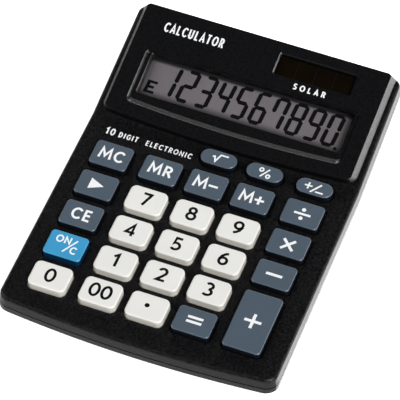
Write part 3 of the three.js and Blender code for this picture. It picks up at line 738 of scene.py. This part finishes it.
def build_rear_cover():
    # Kept part: the cover's outside below both joint planes.
    cover = cover_body("case_bottom", 0)
    planes = below_joint(CASE_DEPTH + JOINT_GAP)
    combine(planes[0], [planes[1]], "UNION")
    combine(cover, [planes[0]], "INTERSECT")
    combine(cover, [cover_body("inside", COVER_WALL)], "DIFFERENCE")
    cuts = []
    for x, y in FEET.values():
        cuts.append(cylinder("foot_pocket", x, y, FOOT_RADIUS + 0.3, -1, FOOT_HEIGHT + 0.3))
    for x, y, boss in CASE_SCREWS.values():
        for side in (-1, 1):
            tower = cylinder("tower", side * x, y, 3.0, 1.5, boss - 0.3)
            combine(cover, [tower], "UNION")
            cuts.append(cylinder("screw_well", side * x, y, 2.3, -1, boss - 1.7))
    combine(cover, cuts, "DIFFERENCE")
    dress(cover, CASE_GRAIN_AND_SPARKLE, CASE_SIDE)
    paint_by_plane(cover, lambda centre, normal: 1 if abs(normal.x) > 0.88 else 0)
    smooth(cover)
    return cover


# ---- keys
# Keys from left to right: the row, the first key's column, and the names.
KEY_LINES = [
    (4, 0, "mc mr m_minus m_plus divide"), (5, 2, "sqrt percent sign"),
    (3, 0, "backspace 7 8 9 multiply"), (2, 0, "ce 4 5 6 minus"), (1, 0, "on_clear 1 2 3"),
    (0, 0, "0 00 point equals"), (0, 4, "plus"),
]
PILL_ROW = 5


def describe_key(name, column, row):
    pitch = KEY_ROWS[1] - KEY_ROWS[0]
    tall = name == "plus"
    if name.isdigit() or name == "point":
        style = "white"
    elif name == "on_clear":
        style = "blue"
    else:
        style = "pill" if row == PILL_ROW else "slate"
    return {
        "name": name,
        "style": style,
        "u": KEY_COLUMNS[column],
        "v": KEY_ROWS[0] + pitch / 2 if tall else KEY_ROWS[row],
        "width": PILL_WIDTH if style == "pill" else KEY_WIDTH,
        "depth": PILL_DEPTH if style == "pill" else KEY_DEPTH + (pitch if tall else 0),
    }


KEYS = [describe_key(name, column, row) for row, first, names in KEY_LINES
        for column, name in enumerate(names.split(), first)]


def key_matrix(key):
    return DECK @ Matrix.Translation((key["u"], key["v"], 0))


def build_key(key):
    """Flange, drafted side and a rounded top edge."""
    edge = KEY_EDGE_WHITE if key["style"] == "white" else KEY_EDGE_OTHER
    rings = [at(FLANGE_BOTTOM, key_outline(key, FLANGE_EDGE)),
             at(FLANGE_TOP, key_outline(key, FLANGE_EDGE)),
             at(FLANGE_TOP + 0.001, key_outline(key, 0))]
    for k in range(EDGE_STEPS + 1):
        angle = math.radians(90 * k / EDGE_STEPS)
        rings.append(at(KEY_TOP - edge * (1 - math.sin(angle)),
                        key_outline(key, KEY_DRAFT - edge * (1 - math.cos(angle)))))
    key_object = loft(f"cap_{key['name']}", rings, key_matrix(key))
    # Faces that don't face up take the darker copy of the top's colour: painted shade on the
    # sides.
    tops = {"white": (KEY_WHITE, KEY_WHITE_SHADED_SIDE), "blue": (KEY_BLUE, KEY_BLUE_SHADED_SIDE)}
    dress(key_object, *tops.get(key["style"], (KEY_SLATE, KEY_SLATE_SHADED_SIDE)))
    up = (DECK.to_3x3() @ Vector((0, 0, 1))).normalized()
    paint_by_plane(key_object, lambda centre, normal: 0 if normal.dot(up) > 0.3 else 1)
    smooth(key_object, 50)
    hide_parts(f"key_{key['name']}")
    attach(key_object, f"key_{key['name']}")
    {"pill": "key_slate"}.get(key["style"], f"key_{key['style']}")
    return key_object


# ---- lettering
# Letters are pen strokes on a grid one unit tall. Each glyph has a width and
# strokes; a stroke is a list of points, with curves given by the helpers.
def bend(cx, cy, rx, ry, start, end, steps):
    """Points of an ellipse arc, angles in degrees."""
    return [(cx + rx * math.cos(math.radians(start + (end - start) * i / steps)),
             cy + ry * math.sin(math.radians(start + (end - start) * i / steps)))
            for i in range(steps + 1)]


GLYPHS = {
    "0": (0.56, [bend(0.28, 0.5, 0.25, 0.46, 90, 450, 32)]),
    "1": (0.40, [[(0.02, 0.76), (0.26, 0.97), (0.26, 0.0)]]),
    "2": (0.54, [bend(0.25, 0.72, 0.22, 0.24, 165, -25, 14)
                 + [(0.30, 0.38), (0.04, 0.05), (0.52, 0.05)]]),
    "3": (0.52, [bend(0.22, 0.74, 0.21, 0.22, 145, -80, 14),
                 bend(0.20, 0.27, 0.26, 0.235, 85, -140, 16)]),
    "4": (0.56, [[(0.40, 0.0), (0.40, 0.93), (0.03, 0.27), (0.56, 0.27)]]),
    "5": (0.52, [[(0.47, 0.95), (0.12, 0.95), (0.09, 0.54)]
                 + bend(0.20, 0.31, 0.26, 0.265, 112, -140, 16)]),
    "6": (0.56, [[(0.46, 0.93), (0.30, 0.86), (0.14, 0.68), (0.05, 0.42)]
                 + bend(0.28, 0.30, 0.23, 0.265, 180, 520, 26)]),
    "7": (0.52, [[(0.02, 0.95), (0.49, 0.95), (0.17, 0.0)]]),
    "8": (0.54, [bend(0.27, 0.74, 0.19, 0.215, -90, 270, 24),
                 bend(0.27, 0.28, 0.24, 0.25, 90, 450, 26)]),
    "9": (0.56, [bend(0.28, 0.70, 0.23, 0.265, 0, 340, 26)
                 + [(0.51, 0.58), (0.42, 0.32), (0.26, 0.14), (0.10, 0.07)]]),
    "A": (0.66, [[(0.02, 0.0), (0.33, 0.97), (0.64, 0.0)], [(0.13, 0.30), (0.53, 0.30)]]),
    "C": (0.66, [bend(0.40, 0.5, 0.34, 0.45, 42, 318, 22)]),
    "D": (0.66, [[(0.08, 0.05), (0.08, 0.95), (0.26, 0.95)]
                 + bend(0.26, 0.5, 0.34, 0.45, 90, -90, 18) + [(0.08, 0.05)]]),
    "E": (0.52, [[(0.49, 0.95), (0.08, 0.95), (0.08, 0.05), (0.50, 0.05)],
                 [(0.08, 0.52), (0.45, 0.52)]]),
    "G": (0.70, [bend(0.40, 0.5, 0.34, 0.45, 45, 300, 20) + [(0.64, 0.13), (0.64, 0.46),
                                                            (0.42, 0.46)]]),
    "I": (0.20, [[(0.10, 0.0), (0.10, 1.0)]]),
    "L": (0.48, [[(0.08, 1.0), (0.08, 0.05), (0.48, 0.05)]]),
    "M": (0.88, [[(0.04, 0.0), (0.13, 0.96), (0.44, 0.26), (0.75, 0.96), (0.84, 0.0)]]),
    "N": (0.72, [[(0.08, 0.0), (0.08, 0.94), (0.64, 0.06), (0.64, 1.0)]]),
    "O": (0.78, [bend(0.39, 0.5, 0.35, 0.45, 90, 450, 30)]),
    "R": (0.60, [[(0.08, 0.0), (0.08, 0.95), (0.24, 0.95)]
                 + bend(0.26, 0.71, 0.23, 0.24, 90, -90, 12) + [(0.08, 0.47)],
                 [(0.30, 0.47), (0.56, 0.0)]]),
    "S": (0.56, [bend(0.30, 0.725, 0.21, 0.225, 35, 200, 14)
                 + bend(0.27, 0.275, 0.23, 0.225, 60, -145, 18)]),
    "T": (0.58, [[(0.0, 0.95), (0.58, 0.95)], [(0.29, 0.95), (0.29, 0.0)]]),
    "U": (0.68, [[(0.08, 1.0), (0.08, 0.34)] + bend(0.34, 0.34, 0.26, 0.29, 180, 360, 14)
                 + [(0.60, 1.0)]]),
}


def stroke_outline(points, width):
    """Left and right edges of a pen stroke with mitred corners."""
    left, right = [], []
    count = len(points)
    closed = math.dist(points[0], points[-1]) < 1e-6
    for i, point in enumerate(points):
        before = points[i - 1] if i > 0 else (points[-2] if closed else None)
        after = points[i + 1] if i < count - 1 else (points[1] if closed else None)
        directions = []
        for a, b in ((before, point), (point, after)):
            if a is not None and b is not None:
                directions.append((Vector(b) - Vector(a)).normalized())
        tangent = (directions[0] + directions[-1]).normalized()
        normal = Vector((-tangent.y, tangent.x))
        first = Vector((-directions[0].y, directions[0].x))
        reach = width / 2 / max(normal.dot(first), 0.38)
        left.append(Vector(point) + normal * reach)
        right.append(Vector(point) - normal * reach)
    return left, right


def print_strokes(strokes, width, height, points, faces):
    """Adds each stroke as a thin raised band of ink to a mesh's lists."""
    for index, stroke in enumerate(strokes):
        # Crossing strokes differ a little in height, so that no two faces coincide.
        top = height + STROKE_STEP * (index % 3)
        left, right = stroke_outline(stroke, width)
        start = len(points)
        for a, b in zip(left, right):
            points += [(a.x, a.y, top), (b.x, b.y, top),
                       (a.x, a.y, top - INK_DEPTH), (b.x, b.y, top - INK_DEPTH)]
        for i in range(len(stroke) - 1):
            p, q = start + 4 * i, start + 4 * (i + 1)
            faces += [(p, p + 1, q + 1, q), (p + 2, q + 2, q + 3, p + 3),
                      (p, q, q + 2, p + 2), (p + 1, p + 3, q + 3, q + 1)]
        last = start + 4 * (len(stroke) - 1)
        faces += [(start, start + 2, start + 3, start + 1),
                  (last, last + 1, last + 3, last + 2)]


def text_width(text, size, tracking):
    return sum(GLYPHS[c][0] * size + tracking for c in text) - tracking


def text_strokes(text, size, cx, cy, tracking, stretch):
    """Strokes of a line of text, centred on (cx, cy)."""
    x = cx - text_width(text, size, tracking / stretch) * stretch / 2
    strokes = []
    for character in text:
        glyph_width, glyph = GLYPHS[character]
        for stroke in glyph:
            strokes.append([(x + px * size * stretch, cy + (py - 0.5) * size)
                            for px, py in stroke])
        x += glyph_width * size * stretch + tracking
    return strokes


def print_object(name, strokes, pen, height, matrix, material, body):
    points, faces = [], []
    print_strokes(strokes, pen, height, points, faces)
    obj = make_object(name, points, faces, matrix)
    dress(obj, material)
    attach(obj, body)


def disc(points, faces, cx, cy, radius, height, depth):
    flat_shape(points, faces, circle(cx, cy, radius, 28), height, depth)


# Each key's legend: the pen's width and its strokes.
MEMORY_MINUS = text_strokes("M", 4.45, -2.15, 0.1, 0, 1.16) + [[(0.85, -0.1), (4.2, -0.1)]]
LEGENDS = {
    "m_minus": (0.86, MEMORY_MINUS),
    "m_plus": (0.86, MEMORY_MINUS + [[(2.5, -1.85), (2.5, 1.65)]]),
    "divide": (0.85, [[(-2.95, -0.2), (2.95, -0.2)]]),
    "multiply": (0.98, [[(-2.1, -2.45), (2.1, 1.75)], [(-2.1, 1.75), (2.1, -2.45)]]),
    "minus": (1.05, [[(-2.9, -0.15), (2.9, -0.15)]]),
    "plus": (1.05, [[(-3.0, 0.1), (3.0, 0.1)], [(0, -2.85), (0, 3.05)]]),
    "equals": (0.98, [[(-2.7, 1.3), (2.7, 1.3)], [(-2.7, -0.55), (2.7, -0.55)]]),
    "on_clear": (0.58, text_strokes("ON", 2.8, -1.5, 1.95, 0.6, 1.1)
                 + [[(-0.3, -3.0), (3.25, 2.85)]]
                 + text_strokes("C", 2.8, 3.1, -1.4, 0.2, 1.1)),
    "percent": (0.55, [[(-1.0, -2.2), (1.4, 1.6)], bend(-1.3, 0.75, 0.62, 0.72, 0, 360, 20),
                       bend(1.6, -1.4, 0.62, 0.72, 0, 360, 20)]),
    "sign": (0.62, [[(-3.5, 0.1), (-0.8, 0.1)], [(-2.15, -1.25), (-2.15, 1.45)],
                    [(-0.85, -2.35), (2.1, 1.7)], [(0.8, -1.75), (3.6, -1.75)]]),
    "sqrt": (0.6, [[(-2.3, 0.1), (-1.6, 0.4), (-0.85, -1.6), (0.35, 1.5), (3.1, 1.5)]]),
}
for legend in ("mc", "mr", "ce"):
    LEGENDS[legend] = (0.86, text_strokes(legend.upper(), 4.45, 0, 0.12, 1.05, 1.1))
for legend in ("00", *"0123456789"):
    LEGENDS[legend] = (0.98, text_strokes(legend, 5.2, -0.05, 0.2, 0.95, 1.14))
# Round dots, as centre and radius, and the filled arrow.
LEGEND_DOTS = {"divide": [(0, 1.65, 0.74), (0, -2.05, 0.74)], "point": [(-0.2, 0.4, 0.86)]}
ARROW = [(-2.5, -2.35), (2.6, 0.0), (-2.5, 2.3)]


def print_legend(key):
    """The sign on a key's top: strokes, and filled dots or an arrow."""
    name = key["name"]
    height = KEY_TOP + INK_LIFT
    pen, strokes = LEGENDS.get(name, (0, []))
    points, faces = [], []
    print_strokes(strokes, pen, height, points, faces)
    for cx, cy, radius in LEGEND_DOTS.get(name, []):
        disc(points, faces, cx, cy, radius, height, INK_DEPTH)
    if name == "backspace":
        flat_shape(points, faces, ARROW, height, INK_DEPTH)
    obj = make_object(f"legend_{name}", points, faces, key_matrix(key))
    white_key = key["style"] == "white"
    dress(obj, PRINT_BLACK if white_key else PRINT_WHITE)
    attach(obj, f"key_{name}")


# ---- display
def plate(name, x0, x1, y0, y1, z0, z1, radius, matrix, edge=0.15):
    """A thin plate with rounded corners and softened edges."""
    cx, cy = (x0 + x1) / 2, (y0 + y1) / 2

    def ring(h, inset):
        return at(h, rounded_rect(cx, cy, x1 - x0 - 2 * inset, y1 - y0 - 2 * inset,
                                  max(radius - inset, 0.05)))

    return loft(name, [ring(z0, edge), ring(z0 + edge * 0.3, edge * 0.3), ring(z0 + edge, 0),
                       ring(z1 - edge, 0), ring(z1 - edge * 0.3, edge * 0.3),
                       ring(z1, edge)], matrix)


# Seven-segment digits, as which segments are lit: top, upper left, upper right,
# middle, lower left, lower right, bottom.
SEGMENTS = {
    "1": "0010010", "2": "1011101", "3": "1011011", "4": "0111010", "5": "1101011",
    "6": "1101111", "7": "1110010", "8": "1111111", "9": "1111011", "0": "1110111",
}
DIGIT_WIDTH = 5.35
DIGIT_HEIGHT = 13.2
DIGIT_PITCH = 6.7
DIGIT_LAST_X = 32.4
DIGIT_BASE_W = 14.5
DIGIT_LEAN = 0.075
SEGMENT_PEN = 1.5
SEGMENT_GAP = 0.03
SEGMENT_POINT = 0.4
SEGMENT_DEPTH = 0.04
# The error sign, a small E: its lower left corner, height and arms.
ERROR_SIGN = (-35.85, 14.5)
ERROR_HEIGHT = 5
ERROR_ARM = 1.0
ERROR_ARMS = ((0, 3.9), (2.0, 3.3), (4.0, 4.0))


def bar(points, faces, a, b, height):
    """One display segment: a bar with pointed ends."""
    a, b = Vector(a), Vector(b)
    along = (b - a).normalized()
    across = Vector((-along.y, along.x)) * SEGMENT_PEN / 2
    tip = along * SEGMENT_PEN * SEGMENT_POINT
    shape = [a, a + tip - across, b - tip - across, b, b - tip + across, a + tip + across]
    flat_shape(points, faces, [(p.x, p.y) for p in shape], height, SEGMENT_DEPTH)


def digit_bars(points, faces, character, cx, level):
    """The lit bars of one leaning digit, centred on cx at its mid height."""
    gap = SEGMENT_GAP
    half = (DIGIT_WIDTH - SEGMENT_PEN) / 2
    y0 = DIGIT_BASE_W + SEGMENT_PEN / 2
    y2 = DIGIT_BASE_W + DIGIT_HEIGHT - SEGMENT_PEN / 2
    y1 = (y0 + y2) / 2
    lines = [((-half + gap, y2), (half - gap, y2)), ((-half, y1 + gap), (-half, y2 - gap)),
             ((half, y1 + gap), (half, y2 - gap)), ((-half + gap, y1), (half - gap, y1)),
             ((-half, y0 + gap), (-half, y1 - gap)), ((half, y0 + gap), (half, y1 - gap)),
             ((-half + gap, y0), (half - gap, y0))]
    for lit, (a, b) in zip(SEGMENTS[character], lines):
        if lit == "1":
            a, b = [(cx + x + DIGIT_LEAN * (y - y1), y) for x, y in (a, b)]
            bar(points, faces, a, b, level)


def display_digits():
    """The full row of digits, a decimal point after it and the error sign."""
    level = GLASS_TOP + 0.03
    points, faces = [], []
    for i, character in enumerate("1234567890"):
        digit_bars(points, faces, character, DIGIT_LAST_X - DIGIT_PITCH * (9 - i), level)
    disc(points, faces, DIGIT_LAST_X + 3.0, DIGIT_BASE_W + 0.1, 0.62, level, INK_DEPTH)
    ex, ew = ERROR_SIGN
    flat_shape(points, faces, [(ex, ew), (ex + 1.25, ew), (ex + 1.6, ew + ERROR_HEIGHT),
                               (ex + 0.35, ew + ERROR_HEIGHT)], level, SEGMENT_DEPTH)
    for up, length in ERROR_ARMS:
        arm = rectangle(ex + 1, ex + length, ew + up, ew + up + ERROR_ARM)
        flat_shape(points, faces, arm, level + 0.003, SEGMENT_DEPTH)
    obj = make_object("display_digits", points, faces, HEAD)
    dress(obj, LCD_INK)
    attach(obj, "case")


def build_display():
    glass = plate("display_glass", -39.6, 39.9, 9.6, 31.2, GLASS_TOP - GLASS_THICK, GLASS_TOP,
                  0.4, HEAD)
    dress(glass, LCD_GREY)
    smooth(glass)
    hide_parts("lcd_glass")
    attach(glass, "case")
    display_digits()
    lens_top = BLOCK_CEILING - DISPLAY_GAP
    lens = plate("display_lens", -38.8, 39.6, 10.4, 29.4, lens_top - LENS_THICK, lens_top, 0.5,
                 HEAD)
    dress(lens, WINDOW_CLEAR)
    smooth(lens)
    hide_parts("display_window")
    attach(lens, "case")


def build_solar_cell():
    x0, x1, w0, w1 = SOLAR
    base = SOLAR_LEDGE + 0.3
    cell = plate("solar_panel", x0 + 0.5, x1 - 0.5, w0 + 0.5, w1 - 0.5, base, base + 0.5,
                 0.3, HEAD, 0.08)
    dress(cell, SOLAR_BROWN)
    smooth(cell)
    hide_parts("solar_cell")
    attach(cell, "case")
    # Thin lines between the cells of the panel.
    length = x1 - x0 - 1.0
    strokes = [[(x0 + 0.5 + length * k / 4, w0 + 0.8), (x0 + 0.5 + length * k / 4, w1 - 0.8)]
               for k in (1, 2, 3)]
    print_object("solar_dividers", strokes, 0.12, base + 0.512, HEAD, SOLAR_LINE, "case")


# ---- feet, screws
def build_feet():
    profile = [(3.2, 0.25), (3.45, 0.06), (3.7, 0.0), (4.1, 0.0), (4.35, 0.07), (4.46, 0.2),
               (4.5, 0.35), (4.5, 1.3), (4.4, 1.4)]
    for name, (x, y) in FEET.items():
        foot = turned(f"rubber_{name}", profile, x, y, 0)
        dress(foot, FOOT_RUBBER)
        smooth(foot)
        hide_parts(f"foot_{name}")
        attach(foot, "case")


def build_screws():
    """Pan heads with a cross recess, deep in the wells of the rear cover."""
    for place, (x, y, boss) in CASE_SCREWS.items():
        length = 4.0 if place == "front" else 8.0
        for side_name, side in (("left", -1), ("right", 1)):
            seat = boss - 2.0
            profile = [(1.2, -1.3), (1.6, -1.12), (1.85, -0.7), (1.9, -0.3), (1.9, 0.0),
                       (1.0, 0.001), (1.0, length - 0.8), (0.5, length)]
            screw = turned(f"screw_{place}_{side_name}", profile, side * x, y, seat, 32)
            cross = []
            for turn in (0, math.pi / 2):
                spin = Matrix.Translation((side * x, y, 0)) @ Matrix.Rotation(
                    turn + 0.4, 4, "Z") @ Matrix.Translation((-side * x, -y, 0))
                ring = rectangle(side * x - 1.05, side * x + 1.05, y - 0.2, y + 0.2)
                cross.append(loft("slot", [at(seat - 2, ring), at(seat - 0.6, ring)],
                                  WORLD @ spin))
            combine(screw, cross, "DIFFERENCE")
            dress(screw, STEEL)
            smooth(screw)
            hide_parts(f"case_screw_{place}_{side_name}")
            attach(screw, "case")


# ---- printed wording
def print_wording():
    """Plain generic words where the real one carries its printing."""
    face = BLOCK_HEIGHT + INK_LIFT
    # Each line: name, text, size, centre, tracking, stretch, pen, height, frame.
    lines = [
        ("print_title", "CALCULATOR", 3.6, -25.3, 38.85, 0.86, 0.63, 0.62, face, HEAD),
        ("print_solar", "SOLAR", 2.1, 20.4, 30.9, 1.3, 1.0, 0.52, face, HEAD),
        ("print_ten", "10", 2.7, -39.9, 78.5, 0.85, 0.9, 0.55, INK_LIFT, DECK),
        ("print_digit", "DIGIT", 2.15, -33.1, 78.3, 0.7, 0.82, 0.46, INK_LIFT, DECK),
        ("print_kind", "ELECTRONIC", 2.1, -18.1, 78.2, 0.66, 0.9, 0.4, INK_LIFT, DECK),
    ]
    for name, text, size, cx, cy, tracking, stretch, pen, height, matrix in lines:
        print_object(name, text_strokes(text, size, cx, cy, tracking, stretch), pen, height,
                     matrix, PRINT_WHITE, "case")


# ---- nodes kept from CAD
def dress_cad_nodes():
    """Procedural finishes for the CAD pieces that stay as they are."""
    finishes = {
        "keypad_membrane": plastic("membrane_rubber", (0.27, 0.29, 0.30), 0.8, 0.08, 1500, 0.02),
        "main_board": plastic("solder_mask", (0.014, 0.10, 0.034), 0.4, 0.25, 1800, 0.01),
        "lcd_reflector": metal("reflector_foil", (0.6, 0.6, 0.62), 0.3),
        "lcd_bracket": plastic("bracket_plastic", (0.68, 0.68, 0.64), 0.5, 0.04, 2000, 0.01),
        "lcd_ribbon": plastic("ribbon_film", (0.32, 0.15, 0.025), 0.35, 0.15, 2000, 0.005),
        "chip_blob": plastic("chip_epoxy", (0.004, 0.004, 0.004), 0.3, 0.2, 600, 0.05),
        "solar_lead_red": plastic("wire_red", (0.38, 0.012, 0.01), 0.35, 0.08, 2000, 0.008),
        "solar_lead_black": plastic("wire_black", (0.006, 0.006, 0.006), 0.35, 0.08, 2000, 0.008),
    }
    for node in ("capacitor", "cell_contact", "button_cell", "cell_clip",
                 "board_screw_left", "board_screw_right"):
        finishes[node] = STEEL
    for node, finish in finishes.items():
        dress(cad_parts[node], finish)


# ---- light, camera
def add_light(name, kind, place, energy):
    """A light that shines from a place towards the origin."""
    data = bpy.data.lights.new(name, kind)
    data.energy = energy
    obj = add_object(name, data)
    obj.rotation_euler = (-place).to_track_quat("-Z", "Y").to_euler()
    return obj


def soft_box(name, direction, distance, width, height, radiance):
    """A softbox: a rectangle of even light, facing the calculator."""
    place = Vector(direction).normalized() * distance
    obj = add_light(name, "AREA", place, radiance * math.pi * width * height)
    obj.location = place
    obj.data.shape = "RECTANGLE"
    obj.data.size, obj.data.size_y = width, height


def far_light(name, direction, level, spread):
    """A broad far light; level is how bright it makes a white floor."""
    aim = Vector(direction).normalized()
    obj = add_light(name, "SUN", aim, level * math.pi / aim.z)
    obj.data.angle = math.radians(spread)


def build_studio():
    """A white light table in a dim room, lit by soft lights on both sides."""
    far = 4000
    floor = make_object("floor", at(0, rectangle(-far, far, -far, far)), [(0, 1, 2, 3)],
                        Matrix())
    paper, shader = new_material("studio_table", (0.9, 0.9, 0.9), 0.9)
    vary_color(shader, add_noise(shader, 3, 2), (0.895, 0.895, 0.895), (0.905, 0.905, 0.905))
    set_inputs(shader, {"Specular IOR Level": 0.0, "Emission Color": (1, 1, 1, 1),
                        "Emission Strength": 0.78})
    dress(floor, paper)

    # The room is dim; only the background that is seen directly is white.
    world = bpy.data.worlds.new("studio")
    bpy.context.scene.world = world
    world.use_nodes = True
    background = world.node_tree.nodes["Background"]
    set_inputs(background, {"Color": (1, 1, 1, 1)})
    path = add_node(background, "ShaderNodeLightPath", {})
    level = add_node(background, "ShaderNodeMapRange", {"To Min": 0.04, "To Max": 1.0})
    link(path.outputs["Is Camera Ray"], level, "Value")
    link(level.outputs["Result"], background, "Strength")

    far_light("front_right", (0.62, -0.42, 0.66), 0.68, 34)
    far_light("left", (-0.74, -0.26, 0.62), 0.24, 34)
    soft_box("low_box", (0.90, 0.42, 0.12), 0.9, 0.6, 0.36, 4.2)
    soft_box("back_box", (-0.2, 0.88, 0.42), 1.0, 0.9, 0.3, 2.5)


CAMERA_ANGLES = (19.49, 48.13, 2.32)
CAMERA_LENS = 315
CAMERA_DISTANCE = 1191


def build_camera():
    """A long lens, from the front right and above, rolled a little."""
    azimuth, elevation, roll = [math.radians(angle) for angle in CAMERA_ANGLES]
    back = Vector((math.sin(azimuth) * math.cos(elevation),
                   -math.cos(azimuth) * math.cos(elevation), math.sin(elevation)))
    right = Vector((math.cos(azimuth), math.sin(azimuth), 0))
    up = back.cross(right)
    rolled_right = right * math.cos(roll) + up * math.sin(roll)
    rolled_up = up * math.cos(roll) - right * math.sin(roll)
    aim = Vector((0, 62 + OFFSET_Y, 18.1)) - 0.45 * rolled_right - 2.81 * rolled_up
    data = bpy.data.cameras.new("camera")
    data.sensor_width = 36
    data.lens = CAMERA_LENS
    camera = add_object("camera", data)
    camera.matrix_world = Matrix((
        (rolled_right.x, rolled_up.x, back.x, 0), (rolled_right.y, rolled_up.y, back.y, 0),
        (rolled_right.z, rolled_up.z, back.z, 0), (0, 0, 0, 1)))
    camera.location = (aim + back * CAMERA_DISTANCE) * MM
    bpy.context.scene.camera = camera


# ---- scene
top_case = build_top_case(KEYS)
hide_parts("top_case")
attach(top_case, "case")

rear_cover = build_rear_cover()
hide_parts("rear_cover")
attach(rear_cover, "case")

for entry in KEYS:
    build_key(entry)
    print_legend(entry)

build_display()
build_solar_cell()
build_feet()
build_screws()
print_wording()
dress_cad_nodes()
build_studio()
build_camera()

bpy.context.scene.view_settings.view_transform = "Standard"
